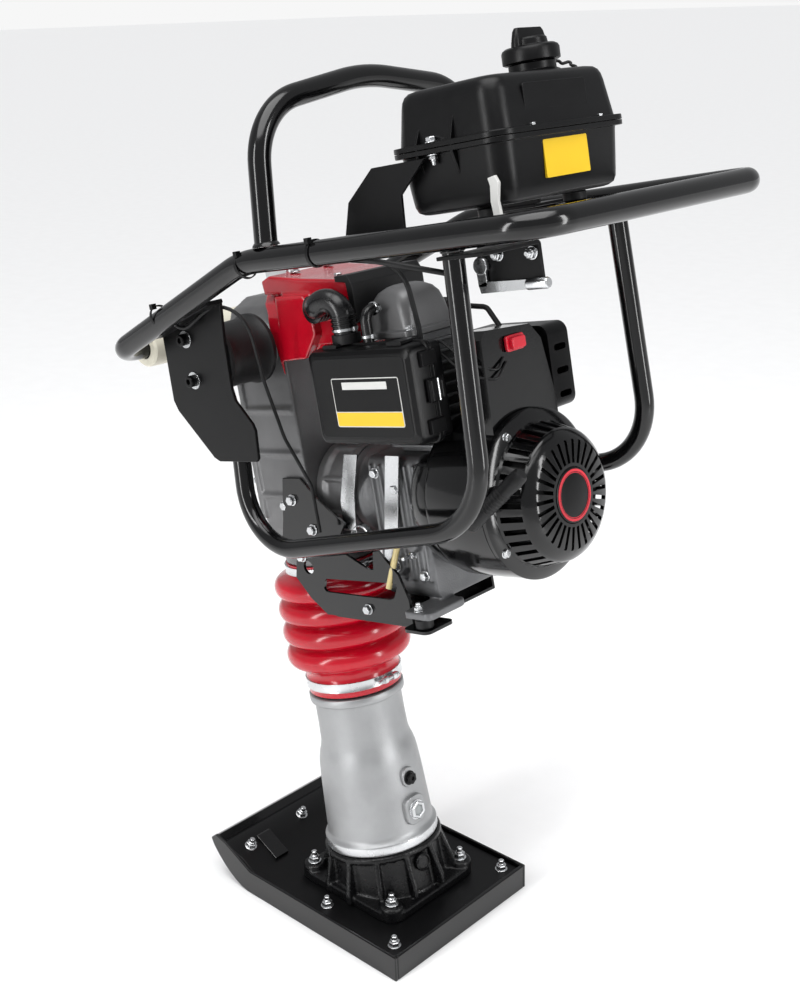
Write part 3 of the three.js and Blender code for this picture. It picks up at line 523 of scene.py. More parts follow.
skirt.prism([(-120, 846), (-120, 906), (-176, 900), (-186, 876), (-160, 846)], "y", 62, 66.5)
skirt.lathe([(21, 0), (21, 3), (17, 5), (17, 8)], 40, (-146, 62, 893), (0, 1, 0))
piece("intake_hood_panel", skirt, RED_PAINT, UP, bevel=1.6, segments=3)
lift = Shape()
lift.prism(rounded(-36, 928, 6, 952, 8), "y", 20, 25)
lift.bolt((-60, 30, 937), (0, 0, 1), 6.5)
lift.bolt((-60, -30, 937), (0, 0, 1), 6.5)
lift.bolt((-150, 40, 925), (0, 0, 1), 5.5)
piece("hood_tab", lift, ZINC, UP, bevel=0.6)
seal = Shape()
seal.prism([(-191, 866), (-199, 872), (-199, 918), (-192, 929), (-170, 929), (-170, 922), (-188, 920)], "y", -63, 66)
piece("hood_seal", seal, RUBBER, UP, bevel=1)

# ---- clutch housing and engine block ----
bell = Shape()
bell.lathe([(64, 0), (64, 12), (60, 20), (60, 44), (63, 52), (63, 63.2), (57, 63.2), (57, 10), (12.4, 10), (12.4, 0)],
           72, (-62.6, 0, SHAFT), (-1, 0, 0), ring=True)
for k in range(8):
    angle = math.radians(45 * k + 22)
    y, w = 61 * math.cos(angle), SHAFT + 61 * math.sin(angle)
    bell.rod((-63, y * 0.98, w), (-125, y * 0.98, SHAFT + (w - SHAFT) * 0.98), 4, n=16)
piece("clutch_bell", bell, CASE_CAST, UP, ["clutch_housing"], voxel=1.6, soften=3)
block = Shape()
block.prism(rounded(-60, 514, 66, 700, 14), "x", -262, -172)
block.lathe([(62, 0), (62, 14), (56, 24), (52, 50)], 56, (-126.6, 0, SHAFT), (-1, 0, 0))
block.lathe([(52, 0), (56, 20), (56, 35)], 56, (-260, 0, SHAFT), (-1, 0, 0))
block.prism(rounded(-284, 40, -240, 112, 8), "z", 504.2, 514)
for k in range(6):
    block.box((-258 + 15 * k, 60, 540), (-253 + 15 * k, 71, 690))
block.lathe([(15, 0), (13, 12), (9, 13)], 32, (-206, 64, 560), (0, 1, 0))
block.lathe([(12, 0), (10, 14), (6, 14)], 32, (-238, 64, 590), (0, 1, 0))
block.box((-262, -64, 640), (-176, -58, 660))
shaft_bore = Shape()
shaft_bore.rod((-310, 0, SHAFT), (-110, 0, SHAFT), 12.4)
piece("engine_block", carve(block, shaft_bore), ROUGH_CAST, UP, ["engine_base"], voxel=1.9, soften=3)
fasteners = Shape()
for u, w in ((-190, 590), (-250, 548), (-186, 540), (-222, 660), (-254, 640), (-190, 680)):
    fasteners.bolt((u, 71 if w > 540 else 67, w), (0, 1, 0), 6.2)
fasteners.bolt((-232, 68, 574), (0, 1, 0), 5.5, stud=14)
fasteners.bolt((-206, 76, 560), (0, 1, 0), 7.0)
fasteners.bolt((-262, 104, 514), (0, 0, 1), 6.0, stud=4)
piece("engine_bolts", fasteners, ZINC, UP, bevel=0.3)
fins = Shape()
fins.prism(rounded(-272, -36, -206, 36, 8), "z", 700.5, 846)
for k in range(10):
    z = 708 + 14 * k
    fins.prism(rounded(-282, -48, -198, 48, 12), "z", z, z + 3.4)
piece("cylinder_fins", fins, ROUGH_CAST, UP, ["engine_cylinder"], bevel=0.8)
rocker = Shape()
rocker.loft([[(u, y, w) for u, y in rounded(-280 + a, -30 + a, -200 - a, 62 - a, r)] for w, a, r in
             ((847, 0, 10), (855, 0, 10), (856, 4, 10), (878, 6, 14), (893, 9, 17), (901, 14, 18), (906, 22, 16),
              (908, 30, 9))])
piece("rocker_cover", rocker, CASE_CAST, UP, ["valve_cover"], bevel=1.6, segments=3, crease=40)
head_bolts = Shape()
for u in (-274, -206):
    for y in (-24, 55):
        head_bolts.bolt((u, y, 855), (0, 0, 1), 5.2)
piece("rocker_cover_bolts", head_bolts, ZINC, UP, bevel=0.3)

# ---- fan housing and recoil starter ----
AXLE = (-1, 0, 0)
shroud = Shape()
shroud.lathe([(97, 0), (102, 3), (104, 9), (104, 60), (103, 90), (101, 91), (99, 91), (99, 9), (12.4, 9), (12.4, 0)],
             96, (-296.4, 0, SHAFT), AXLE, ring=True)
shroud.prism([(-66, 720), (58, 720), (56, 838), (48, 848), (-34, 842), (-52, 822), (-66, 750)], "x", -385, -346)
shroud.lathe([(92, 0), (97, 10), (101, 28), (101, 31), (58.5, 31), (58.5, 0)], 96, (-267, 0, SHAFT), AXLE, ring=True)
headroom = Shape()
headroom.box((-295.6, -120, 694), (-250, 120, 800))
shroud = carve(shroud, headroom)
piece("fan_shroud", shroud, PAINT, UP, ["fan_housing"], bevel=3, segments=3)
START = -388.4
dome = Shape()
slots = Shape()
dome.lathe([(104, 0), (104, 5), (100, 8), (89, 10), (87, 14), (80, 42), (77, 46), (70, 51), (64, 54), (34, 55.5),
            (32, 53), (14, 53), (14, 50), (62, 50), (74, 42), (82, 12), (84, 4), (98, 3), (98, 0)], 96,
           (START, 0, SHAFT), AXLE, ring=True)
for k in range(30):
    a = 2 * math.pi * k / 30
    face = Matrix.Translation((START, 0, SHAFT)) @ Matrix.Rotation(a, 4, "X")
    slots.shell([(x, y, z) for x in (-38, -62) for y in (-2.3, 2.3) for z in (38, 66)],
                [(0, 1, 3, 2), (4, 6, 7, 5), (0, 4, 5, 1), (2, 3, 7, 6), (0, 2, 6, 4), (1, 5, 7, 3)], LEAN @ face)
for k in range(32):
    a = 2 * math.pi * (k + 0.5) / 32
    face = Matrix.Translation((START, 0, SHAFT)) @ Matrix.Rotation(a, 4, "X")
    slots.shell([(x, y, z) for x in (-13, -41) for y in (-3.6, 3.6) for z in (70, 95)],
                [(0, 1, 3, 2), (4, 6, 7, 5), (0, 4, 5, 1), (2, 3, 7, 6), (0, 2, 6, 4), (1, 5, 7, 3)], LEAN @ face)
piece("recoil_dome", carve(dome, slots), PAINT, UP, ["recoil_cover"], bevel=0.7, crease=30)
backing = Shape()
backing.lathe([(96, 0), (96, 1.5), (74, 3), (72, 30), (60, 44), (14, 44), (14, 42), (58, 42), (69, 29), (70, 0)], 72,
              (START + 1, 0, SHAFT), AXLE, ring=True)
piece("recoil_reel_cover", backing, RUBBER, UP)
badge = Shape()
BADGE_AT = (START - 54.6, 0, SHAFT)
badge.lathe([(33, 0), (33, 1.6), (31.5, 2.2), (1, 2.2)], 64, BADGE_AT, AXLE)
piece("recoil_badge", badge, SATIN, UP)
badge_ring = Shape()
badge_ring.lathe([(31, 2.0), (31, 2.7), (28, 2.7), (28, 2.0)], 64, BADGE_AT, AXLE, ring=True)
badge_ring.lathe([(27.2, 1.8), (27.2, 2.45), (26.4, 2.45), (26.4, 1.8)], 64, BADGE_AT, AXLE, ring=True)
piece("recoil_badge_ring", badge_ring, RED_PLASTIC, UP)
cover_bolts = Shape()
for degrees in (58, 148, 238, 328):
    a = math.radians(degrees)
    cover_bolts.bolt((START - 7, 95 * math.cos(a), SHAFT + 95 * math.sin(a)), AXLE, 5.4)
piece("recoil_bolts", cover_bolts, ZINC, UP, bevel=0.3)
grip_from, grip_to = Vector((-386, 124, 636)), Vector((-462, 108, 697))
grip = Shape()
along = (grip_to - grip_from).normalized()
grip_length = (grip_to - grip_from).length
grip.lathe([(6.5, 0), (9, 3), (10, 14), (9, 30), (9, grip_length - 30), (10, grip_length - 14),
            (9, grip_length - 3), (6.5, grip_length)], 32, grip_from, along)
for k in range(7):
    centre = grip_from + along * (grip_length / 2 - 15 + 5 * k)
    grip.lathe([(9.2, -1), (9.8, -0.4), (9.8, 0.4), (9.2, 1)], 32, centre, along)
piece("starter_handle", grip, RUBBER, "starter_grip", ["recoil_grip"])
mid_grip = (grip_from + grip_to) / 2
port = Vector((-404, 86, 664))
guide = Shape()
guide.lathe([(10, -6), (10, 4), (7.5, 8), (4, 8), (4, -6)], 32, port, (mid_grip - port).normalized(), ring=True)
piece("rope_guide", guide, SATIN, UP)
rope = Shape()
rope.sweep([port.lerp(mid_grip, k / 8) for k in range(9)], 2.0, 12)
cord = piece("starter_rope", rope, RUBBER, "starter_grip")
cord.parent = None
del cord["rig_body"]
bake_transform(cord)

# ---- air cleaner ----
tray = Shape()
tray.prism(rounded(-331, 730, -157, 845, 9), "y", 66, 84)
tray.prism(rounded(-334, 727, -154, 848, 10), "y", 83, 88)
piece("air_cleaner_tray", tray, PLASTIC, UP, ["air_cleaner_base"], bevel=2, segments=3)
lid = Shape()
lid.loft([[(u, y, w) for u, w in rounded(a, b, c, d, r)] for y, a, b, c, d, r in (
    (88.5, -335, 726, -153, 849, 11), (93, -335, 726, -153, 849, 11), (93.6, -333, 728, -155, 847, 10),
    (114, -332, 729, -156, 846, 10), (119.5, -330, 731, -158, 844, 10), (122.6, -325, 736, -163, 839, 9))])
piece("air_cleaner_lid", lid, PLASTIC, UP, ["air_cleaner_cover"], bevel=0.8, crease=42)
detail = Shape()
for u in (-190, -300):
    detail.prism(rounded(u - 12, 845, u + 12, 851, 2.5), "y", 80, 112)
for w in (748, 828):
    detail.prism([(-338, w - 8), (-338, w + 8), (-330, w + 10), (-330, w - 10)], "y", 84, 108)
detail.prism(rounded(-322, 739, -166, 836, 7), "y", 122.2, 123.2)
piece("air_cleaner_ribs", detail, PLASTIC, UP, bevel=0.8)
clips = Shape()
for u, w in ((-151, 800), (-337, 790)):
    sign = 1 if u > -200 else -1
    clips.prism(rounded(u - 2.5, w - 14, u + 2.5, w + 14, 2), "y", 78, 104)
    clips.rod((u + sign * 2, 84, w - 10), (u + sign * 2, 84, w + 10), 3.4, n=16)
    clips.rod((u + sign * 2, 100, w - 12), (u + sign * 2, 100, w + 12), 2.2, n=16)
piece("air_cleaner_clips", clips, PLASTIC, UP, bevel=0.5)
pins = Shape()
for u, w in ((-151, 800), (-337, 790)):
    pins.rod((u, 88, w - 13), (u, 88, w + 13), 3.2, n=16)
piece("clip_pins", pins, ZINC, UP)
plate = Shape()
plate.prism(rounded(-310, 752, -196, 812, 3), "y", 123.2, 123.6)
piece("blank_plate", plate, SILVER, UP)
plate = Shape()
plate.prism(rounded(-308.8, 771, -197.2, 810.8, 1.5), "y", 123.5, 123.8)
piece("blank_plate_field", plate, SATIN, UP)
plate = Shape()
plate.prism(rounded(-290, 798, -214, 807, 0.6), "y", 123.7, 124.0)
piece("blank_plate_bar", plate, SILVER, UP)
plate = Shape()
plate.prism(rounded(-308.8, 753.2, -197.2, 770, 1.5), "y", 123.5, 123.8)
piece("blank_plate_band", plate, YELLOW, UP)
throat = Shape()
throat.prism(rounded(-302, 742, -222, 800, 5), "y", 49, 65.6)
throat.lathe([(5, 0), (7, 4), (7, 16), (4, 20)], 24, (-242, 57, 722), (0, 0, 1))
throat.lathe([(12, 0), (12, 14), (9, 16)], 32, (-270, 57, 765), (1, 0, 0))
piece("carburettor_body", throat, CAST, UP, ["carburettor"], bevel=1.2)

hose = Shape()
hose.sweep(bent([(-146, 65, 893), (-146, 94, 893, 18), (-196, 86, 914, 23), (-196, 86, 847.8)], 16), 15, 36)
for k in range(4):
    hose.lathe([(14.5, -2.2), (17.6, -1), (17.6, 1), (14.5, 2.2)], 40, (-146, 72 + 5.4 * k, 893), (0, 1, 0))
for k in range(3):
    hose.lathe([(14.5, -1.8), (16.4, -0.8), (16.4, 0.8), (14.5, 1.8)], 40, (-196, 86, 872 + 5 * k), (0, 0, 1))
piece("intake_elbow", hose, HOSE_RUBBER, UP, ["intake_hose"], crease=50)
cuffs = Shape()
cuffs.lathe([(16, 0), (18, 1), (18, 12), (16, 13)], 40, (-196, 86, 848), (0, 0, 1))
piece("hose_cuffs", cuffs, RUBBER, UP)
small = Shape()
small.sweep(bent([(-232, 62.8, 886), (-232, 84, 886, 14), (-232, 84, 847.8)], 14), 7, 28)
piece("breather_tube", small, HOSE_RUBBER, UP, ["breather_hose"], crease=80)
wire = Shape()
CLIPS = [((-232, 68, 886), (0, 1, 0), 7.6), ((-232, 84, 855), (0, 0, 1), 7.6), ((-196, 86, 866), (0, 0, 1), 15.6)]
for at, axis, r in CLIPS:
    wire.lathe([(r, -2), (r + 0.8, -1.6), (r + 0.8, 1.6), (r, 2), (r - 0.6, 0)], 32, at, axis, ring=True)
    wire.box((at[0] - r - 4, at[1] - 2.5, at[2] - 2.5), (at[0] - r, at[1] + 2.5, at[2] + 2.5))
piece("hose_clips", wire, ZINC, UP)
drip = Shape()
drip.sweep(bent([(-230, 76, 600), (-221, 84, 588, 10), (-214, 92, 560, 10), (-206, 96, 536)], 8), 4, 16)
piece("clear_hose", drip, HOSE, UP, crease=80)
strap = Shape()
strap.prism([(-134, 600), (-110, 600), (-114, 640), (-136, 703), (-160, 703), (-142, 650)], "y", 67, 69.5)
strap.prism([(-204, 548), (-180, 548), (-196, 620), (-216, 704), (-240, 704), (-222, 630)], "y", 72, 74.5)
strap.lathe([(16, 0), (18, 1), (18, 9), (16, 10), (13, 5)], 32, (-140, 60, 590), (0, 1, 0), ring=True)
piece("engine_straps", strap, ZINC, UP, bevel=0.6)
# ---- exhaust, plug and switch ----
silencer = Shape()
silencer.prism(rounded(-342, 741, -268, 814, 16), "y", -96, -57)
piece("muffler_box", silencer, HOT, UP, ["muffler"], bevel=4, segments=3)
guard = Shape()
guard.prism(rounded(-384, 729, -252, 834, 14), "y", -106, -66)
gaps = Shape()
gaps.prism(rounded(-380, 733, -256, 830, 11), "y", -102, -60)
for w in (742, 771, 800):
    gaps.prism(rounded(-99, w, -76, w + 8, 3.6), "x", -392, -370)
for k in range(6):
    u = -360 + 16 * k
    gaps.prism(rounded(u, 748, u + 6, 812, 3), "y", -112, -98)
piece("muffler_shield", carve(guard, gaps), SATIN, UP, ["muffler_guard"], bevel=1)
cap = Shape()
cap.sweep(bent([(-236, -30.6, 872), (-236, -56, 872, 12), (-262, -60, 866)], 10), 8, 24)
cap.lathe([(9, 0), (9.6, 2), (9.6, 8), (9, 10)], 28, (-236, -31, 872), (0, -1, 0))
piece("spark_plug_boot", cap, RUBBER, UP, ["plug_cap"])
lead = Shape()
lead.sweep(bent([(-262, -60, 866), (-300, -60, 862, 20), (-334, -40, 840, 16), (-346, -30, 822)], 8), 3.4, 14)
piece("ignition_lead", lead, RUBBER, UP, crease=80)
rocker_switch = Shape()
rocker_switch.prism(rounded(-15.5, 816.5, 17.5, 835.5, 4), "x", -390, -385.6)
rocker_switch.prism(rounded(-11, 819, 13, 833, 3), "x", -396, -389.5)
piece("stop_rocker", rocker_switch, RED_PLASTIC, "switch", ["stop_switch"], bevel=1.2, segments=3)
wires = Shape()
for run in ([(-386, 22, 812), (-390, 40, 800, 10), (-374, 66, 812, 12), (-330, 64, 842, 20), (-284, 56, 838)],
            [(-386, 18, 806), (-391, 44, 790, 10), (-370, 70, 800, 12), (-326, 66, 830, 20), (-284, 58, 826)]):
    wires.sweep(bent(run, 8), 1.6, 10)
piece("switch_wires", wires, RUBBER, UP, crease=80)

# ---- guards ----
web = Shape()
REAR = [(-238, 487), (-237, 523), (-225, 555), (-196, 584)]
web.prism([(-34, 560), (-27, 535), (-51, 507), (-78, 487), *REAR], "y", 91, 95)
web.prism([(-76, 566), (-76, 500), (-90, 487), *REAR], "y", -66, -62)
web.box((-238, -66, 486), (-96, 95, 490))
web.prism(rounded(-278, 60, -234, 112, 9), "z", 486, 490)
holes = Shape()
for u, w, r in ((-56, 551, 9.5), (-161, 501, 6)):
    holes.rod((u, 80, w), (u, 104, w), r)
SLOT = [(-88, 538), (-84, 534), (-80, 524), (-83, 520), (-88, 519), (-206, 520), (-212, 523), (-220, 538), (-219, 542),
        (-214, 543)]
holes.prism(SLOT, "y", 84, 102)
holes.prism([(-128, 582), (-136, 574), (-172, 558), (-182, 558), (-190, 600), (-128, 600)], "y", 84, 102)
piece("belly_plate", carve(web, holes), PAINT, UP, ["belly_guard"], bevel=0.9)
foot_rubber = Shape()
foot_rubber.lathe([(10, 490.4), (11.5, 492), (11.5, 502), (10, 503.6)], 32, (-262, 98, 0))
piece("engine_foot_rubber", foot_rubber, RUBBER, UP, ["engine_foot_rubber_left"])
fender = Shape()
fender.prism([(-17, 670), (-52, 671), (-84, 640), (-126, 612), (-110, 591), (-68, 578), (10, 573), (-2, 610)], "y",
             76, 80)
piece("curved_plate", fender, PAINT, UP, ["curved_guard"], bevel=1)
guard_bolts = Shape()
for u, w in ((-62, 600), (-30, 640)):
    guard_bolts.bolt((u, 80, w), (0, 1, 0), 7)
guard_bolts.bolt((-161, 95, 503), (0, 1, 0), 6.5)
guard_bolts.bolt((-48, 95, 566), (0, 1, 0), 6.5)
piece("guard_bolts", guard_bolts, ZINC, UP, bevel=0.3)

# ---- handle frame ----
TUBE = 14.2
HANDLE = [(124, 0, 869)]
HANDLE += [(124, 206, 869, 40), (-172, 206, 967, 160), (-610, 206, 967, 44)]
HANDLE += [(-610, -206, 967, 44), (-172, -206, 967, 160), (124, -206, 869, 40), (124, 0, 869)]
loop = Shape()
loop.sweep(bent(HANDLE, 14), TUBE, 40)
piece("handle_tube", loop, PAINT, UP, ["handle_loop"], crease=80)
for sign, name in ((1, "left"), (-1, "right")):
    lower = Shape()
    top, low = sign * 149, sign * 163
    lower.sweep(bent([(-447, top, 952), (-447, low, 649, 90), (-31, low, 590, 80), (-31, top, 746)], 16), 12, 36)
    lower.lathe([(12, 0), (14, 1.5), (13.5, 3), (12, 4.5)], 36, (-447, sign * 149.2, 947), (0, 0, 1))
    piece("lower_tube_" + name, lower, PAINT, UP, ["lower_loop_" + name], crease=80)
hoop = Shape()
HOOP = [(-212, 200, 981.6), (-212, 180, 1134, 86), (-212, 0, 1161, 260), (-212, -180, 1134, 86), (-212, -200, 981.6)]
hoop.sweep(bent(HOOP, 16), 13.5, 40)
for sign in (-1, 1):
    hoop.lathe([(13.5, 0.4), (16.4, 0.2), (15.6, 2.4), (13.5, 5)], 40, (-212, sign * 200, 981.4), (0, 0, 1))
piece("hoop_tube", hoop, PAINT, UP, ["guard_hoop"], crease=80)
PLATE_IN, PLATE_OUT = 165, 170
for sign, name in ((1, "left"), (-1, "right")):
    side = Shape()
    side.prism([(62, 887), (-70, 925), (-63, 873), (-60, 812), (-63, 796), (-88, 766), (-91, 757), (-87, 721),
                (-83, 717), (-8, 716), (2, 721), (60, 784), (66, 798)], "y", sign * PLATE_IN, sign * PLATE_OUT)
    side.prism([(62, 887), (-70, 925), (-71, 920), (61, 882)], "y", sign * PLATE_IN, sign * 191.4)
    piece("mount_plate_" + name, side, SATIN, UP, ["side_plate_" + name], bevel=1, segments=2)
    hold = Shape()
    buffers = Shape()
    for u, w in ((14, 878), (12, 824)):
        at, outwards = (u, sign * PLATE_OUT, w), (0, sign, 0)
        hold.lathe([(7.4, 0), (11.4, 0), (11.4, 1.2), (7.4, 1.2)], 40, at, outwards, ring=True)
        buffers.lathe([(7.6, 0), (7.6, 9), (6.6, 10.4), (3.8, 10.4), (3.4, 6), (0.5, 6)], 32, at, outwards)
    piece("mount_screws_" + name, buffers, SATIN, UP, bevel=0.3)
    piece("mount_bolts_" + name, hold, ZINC, UP, bevel=0.3)
    mount = Shape()
    mount.lathe([(46, 90), (46, 95), (43.5, 98), (42, 110), (41.5, 127), (42, 144), (43.5, 157), (46, 160),
                 (46, 164.6)], 72, MOUNT_AT, (0, sign, 0))
    piece("rubber_mount_" + name, mount, RUBBER, UP, ["front_damper_" + name])
roller = Shape()
roller.lathe([(15.4, -160), (24, -160), (26.5, -157), (27, -150), (27, 150), (26.5, 157), (24, 160), (15.4, 160)], 56,
             (124, 0, 869), (0, 1, 0), ring=True)
piece("nylon_roller", roller, NYLON, "roller", ["front_roller"])

# ---- fuel tank ----
TANK_REAR, TANK_FRONT, TANK_SIDE = -501, -343, 112


def ring_at(w, inset, radius):
    """The tank's outline at height w, drawn in by inset."""
    outline = rounded(TANK_REAR + inset, inset - TANK_SIDE, TANK_FRONT - inset, TANK_SIDE - inset, radius, 8)
    return [(u, y, w) for u, y in outline]


bottom = Shape()
bottom.loft([ring_at(986, 18, 20), ring_at(986.8, 14, 21), ring_at(990, 9, 22), ring_at(996, 6.6, 23),
             ring_at(1003, 5.6, 24), ring_at(1047, 2.4, 24), ring_at(1050, 2, 24), ring_at(1050.4, -4.4, 26),
             ring_at(1055.8, -4.6, 26)])
piece("tank_bottom", bottom, PLASTIC, UP, ["tank_lower"], bevel=0.6, crease=50)
upper = Shape()
upper.loft([ring_at(1056.4, -4.6, 26), ring_at(1062, -4.4, 26), ring_at(1062.4, 2, 24), ring_at(1065, 2.4, 24),
            ring_at(1102, 7, 24), ring_at(1109, 8.6, 23), ring_at(1114, 11, 22), ring_at(1117.4, 15, 20),
            ring_at(1119, 22, 16)])
piece("tank_top", upper, PLASTIC, UP, ["tank_upper"], bevel=0.6, crease=50)
ribs = Shape()
for u, top, low in ((-386, 1086, 1024), (-436, 1094, 1016)):
    for sign in (-1, 1):
        edge = sign * 116
        ribs.prism([(sign * 104, top), (edge, 1063), (edge, 1049), (sign * 105, low)], "x", u - 1.8, u + 1.8)
ribs.prism(rounded(-50, 1072, 60, 1106, 4), "x", -497, -493.6)
piece("tank_ribs", ribs, PLASTIC, UP, bevel=0.8)
screws = Shape()
for side in (-1, 1):
    screws.bolt((-408, side * 114, 1062), (0, 0, 1), 6)
    screws.bolt((-408, side * 114, 1050), (0, 0, -1), 5.4, stud=5)
for u, y in ((-504, 60), (-504, -60), (-340, 60), (-340, -60)):
    screws.bolt((u, y, 1062), (0, 0, 1), 3.4, washer=False)
piece("tank_screws", screws, ZINC, UP, bevel=0.3)
CAP = (-428, -50, 0)
neck = Shape()
neck.lathe([(20, 1119.4), (33, 1119.4), (31, 1122), (27, 1124), (27, 1132), (20, 1132)], 64, CAP, ring=True)
piece("tank_neck", neck, PLASTIC, UP, ["filler_neck"], bevel=0.5)
lid = Shape()
lid.lathe([(30, 1132.6), (33, 1134), (33, 1146), (31.5, 1149), (28, 1151), (21, 1151.5), (20, 1158), (18, 1160)], 72,
          CAP)
lid.loft([[(u, y, w) for u, y in rounded(-428 - a, -50 - b, -428 + a, -50 + b, a * 0.9)] for w, a, b in
          ((1150, 5.5, 29), (1158, 5, 28), (1167, 4.4, 25), (1171, 3, 22))])
piece("tank_cap", lid, PLASTIC, "cap", ["fuel_cap"], bevel=0.4, crease=40)
tether = Shape()
zig = [(-432, -76, 1128), (-436, -92, 1134, 3), (-440, -86, 1127, 2.4), (-444, -104, 1130, 2.4),
       (-448, -92, 1123, 2.4), (-452, -104, 1124, 2.4), (-454, -92, 1118.6)]
tether.sweep(bent(zig, 6), 1.8, 12)
piece("cap_tether", tether, RUBBER, UP, crease=80)
strap = Shape()
strap.prism([(-478, 1016), (-488, 1018), (-492, 1010), (-488, 992), (-490, 972), (-480, 972), (-478, 992),
             (-480, 1008)], "y", 110, 114.5)
piece("tank_strap", strap, SILVER, UP, bevel=0.8)
stickers = Shape()
stickers.prism(rounded(-38, 1006, 40, 1046, 2), "x", -498.6, -495.2)
piece("blank_yellow_panel", stickers, YELLOW, UP)

# ---- brackets under the tank ----
support = Shape()
support.box((-470, -191.4, 953.3), (-420, 191.4, 958.2))
for sign in (-1, 1):
    support.prism(rounded(-462, sign * 76 - 16, -426, sign * 76 + 16, 4), "z", 957.8, 974)
piece("tank_bar", support, PAINT, UP, ["tank_support"], bevel=0.8)
pads = Shape()
for sign in (-1, 1):
    pads.lathe([(12, 974), (14, 976), (14, 984), (12, 985.6)], 32, (-444, sign * 76, 0))
piece("tank_pads", pads, RUBBER, UP)
for sign, name in ((1, "left"), (-1, "right")):
    hang = Shape()
    hang.prism([(-262, 976), (-276, 1014), (-321, 1047), (-402, 1047), (-360, 1013), (-357, 976)], "y", sign * 119,
               sign * 123)
    hang.box((-350, sign * 119, 972), (-262, sign * 191.4, 976))
    piece("tank_plate_" + name, hang, SATIN, UP, ["tank_bracket_" + name], bevel=0.8)

# ---- throttle ----
holder = Shape()
holder.prism(rounded(-540, 905, -455, 948, 4), "y", 118, 122)
holder.box((-540, 120, 944), (-478, 210, 948))
piece("lever_bracket", holder, SATIN, UP, ["throttle_bracket"], bevel=0.8)
lever = Shape()
lever.lathe([(9, 122.4), (9.5, 123), (9.5, 127), (9, 128)], 32, (-462, 0, 928), (0, 1, 0))
lever.prism([(-468, 906), (-456, 906), (-455, 934), (-469, 934)], "y", 123, 127)
lever.prism([(-530, 900), (-458, 899), (-456, 908), (-466, 911), (-530, 910)], "y", 123, 127)
lever.lathe([(5, 0), (6, 1), (6, 26), (5, 28)], 28, (-524, 129, 905), (-1, 0, 0))
piece("throttle_arm", lever, ZINC, "throttle", ["throttle_lever"], bevel=0.6)
lever_bolts = Shape()
lever_bolts.bolt((-463, 118, 936), (0, -1, 0), 5.5, stud=2)
lever_bolts.bolt((-530, 122, 936), (0, 1, 0), 6.5, stud=3)
lever_bolts.bolt((-485, 122, 938), (0, 1, 0), 6.5, stud=3)
piece("lever_bolts", lever_bolts, ZINC, UP, bevel=0.3)
CABLE = [(-440, 132, 920), (-384, 176, 944, 60), (-300, 184, 962, 80), (-172, 184, 962, 80), (18, 184, 907, 40),
         (4, 96, 950, 34), (-150, 80, 956, 60), (-292, 68, 936, 40), (-292, 57, 860, 30), (-292, 57, 800.4)]
cable = Shape()
cable.sweep(bent(CABLE, 10), 3.2, 16)
piece("throttle_cable_sheath", cable, RUBBER, UP, ["throttle_cable"], crease=80)
wire_run = Shape()
wire_run.sweep(bent([(6, 192, 905), (-4, 184, 890, 14), (-70, 160, 930, 40), (-94, 150, 881, 40), (-80, 132, 815, 40),
                     (-76, 112, 734, 40), (-98, 100, 668, 30), (-96, 98, 604)], 8), 2.4, 14)
piece("switch_cable", wire_run, RUBBER, UP, crease=80)
ties = Shape()
for u, w in ((-176, 963), (6, 913), (-300, 967)):
    slope = Vector((1, 0, 0)) if u < -180 else Vector((0.956, 0, -0.292))
    low, high = TUBE + 0.2, TUBE + 1.5
    ties.lathe([(low, -2.2), (high, -2.2), (high, 2.2), (low, 2.2)], 40, (u, 206, w), slope, ring=True)
    ties.box((u - 3, 212, w + 11), (u + 3, 219, w + 18))
piece("cable_ties", ties, PLASTIC, UP, bevel=0.4)

# ---- CAD nodes that stay as they are, inside the machine ----
KEPT_STEEL = ("lower_spring", "upper_spring", "guide_cylinder", "piston_rod", "connecting_rod", "crank_gear",
              "clutch_drum", "flywheel")
for name, mat in [*((name, STEEL) for name in KEPT_STEEL), ("filter_element", FOAM)]:
    mesh = frame["nodes"][name].data
    mesh.materials.clear()
    mesh.materials.append(mat)

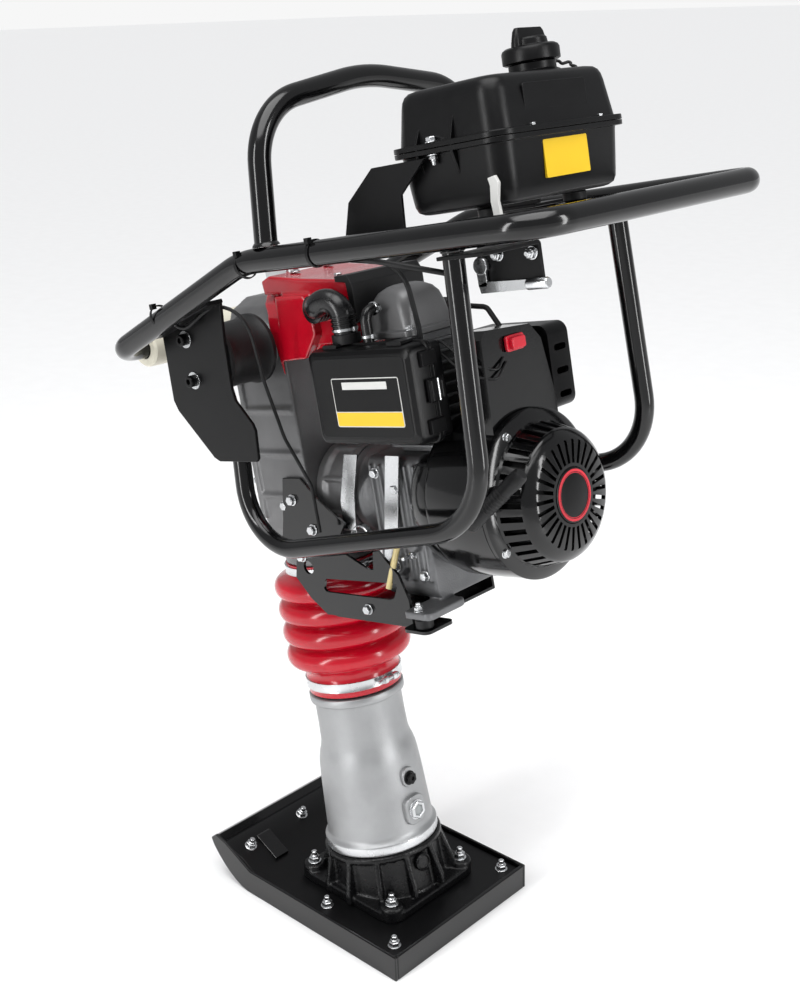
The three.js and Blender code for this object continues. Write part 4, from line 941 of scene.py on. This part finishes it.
# ---- floor, light and camera ----
floor_mesh = bmesh.new()
bmesh.ops.create_grid(floor_mesh, x_segments=2, y_segments=2, size=150)
floor = new_object("floor", floor_mesh)
floor.data.materials.append(FLOOR)
floor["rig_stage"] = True

scene = bpy.context.scene
world = bpy.data.worlds.new("studio")
scene.world = world
world.use_nodes = True
sky_nodes, sky_links = world.node_tree.nodes, world.node_tree.links
sky = sky_nodes["Background"]
sky.inputs["Color"].default_value = (0.97, 0.98, 1.0, 1)
sky.inputs["Strength"].default_value = 0.45
backdrop = sky_nodes.new("ShaderNodeBackground")
backdrop.inputs["Color"].default_value = (0.93, 0.93, 0.93, 1)
seen = sky_nodes.new("ShaderNodeLightPath")
either = sky_nodes.new("ShaderNodeMixShader")
sky_links.new(seen.outputs["Is Camera Ray"], either.inputs["Fac"])
sky_links.new(sky.outputs["Background"], either.inputs[1])
sky_links.new(backdrop.outputs["Background"], either.inputs[2])
sky_links.new(either.outputs["Shader"], sky_nodes["World Output"].inputs["Surface"])
scene.view_settings.view_transform = "Standard"


def area_light(name, at, target, size, power, size_y=None):
    data = bpy.data.lights.new(name, "AREA")
    data.energy, data.size = power, size
    if size_y:
        data.shape, data.size_y = "RECTANGLE", size_y
    lamp = bpy.data.objects.new(name, data)
    scene.collection.objects.link(lamp)
    lamp.location = at
    lamp.rotation_mode = "QUATERNION"
    lamp.rotation_quaternion = (Vector(target) - Vector(at)).to_track_quat("-Z", "Y")


area_light("top_softbox", (-0.4, 0.6, 3.2), (0, 0, 0.7), 2.2, 34)
area_light("left_strip", (0.3, 2.7, 1.5), (0, 0, 0.7), 0.4, 42, 2.6)
area_light("right_strip", (-2.7, -0.5, 1.5), (0, 0, 0.7), 0.4, 42, 2.6)
overhead = bpy.data.lights.new("overhead", "SUN")
overhead.energy, overhead.angle = 1.7, math.radians(60)
overhead_lamp = bpy.data.objects.new("overhead", overhead)
scene.collection.objects.link(overhead_lamp)
overhead_lamp.rotation_euler = (math.radians(-12), math.radians(-8), 0)

AZIMUTH, PITCH, ROLL = (math.radians(d) for d in (223.79, 20.16, -1.82))
back = Vector((math.sin(AZIMUTH) * math.cos(PITCH), -math.cos(AZIMUTH) * math.cos(PITCH), math.sin(PITCH)))
level = Vector((math.cos(AZIMUTH), math.sin(AZIMUTH), 0))
rise = back.cross(level)
right = level * math.cos(ROLL) + rise * math.sin(ROLL)
top = rise * math.cos(ROLL) - level * math.sin(ROLL)
data = bpy.data.cameras.new("camera")
data.sensor_width = 36
data.lens = 1354.15 * 36 / 1007
camera = bpy.data.objects.new("camera", data)
scene.collection.objects.link(camera)
turn = Matrix((right, top, back)).transposed().to_4x4()
camera.matrix_world = Matrix.Translation((-1.21799, 1.21896, 1.25533)) @ turn
scene.camera = camera

low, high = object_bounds()
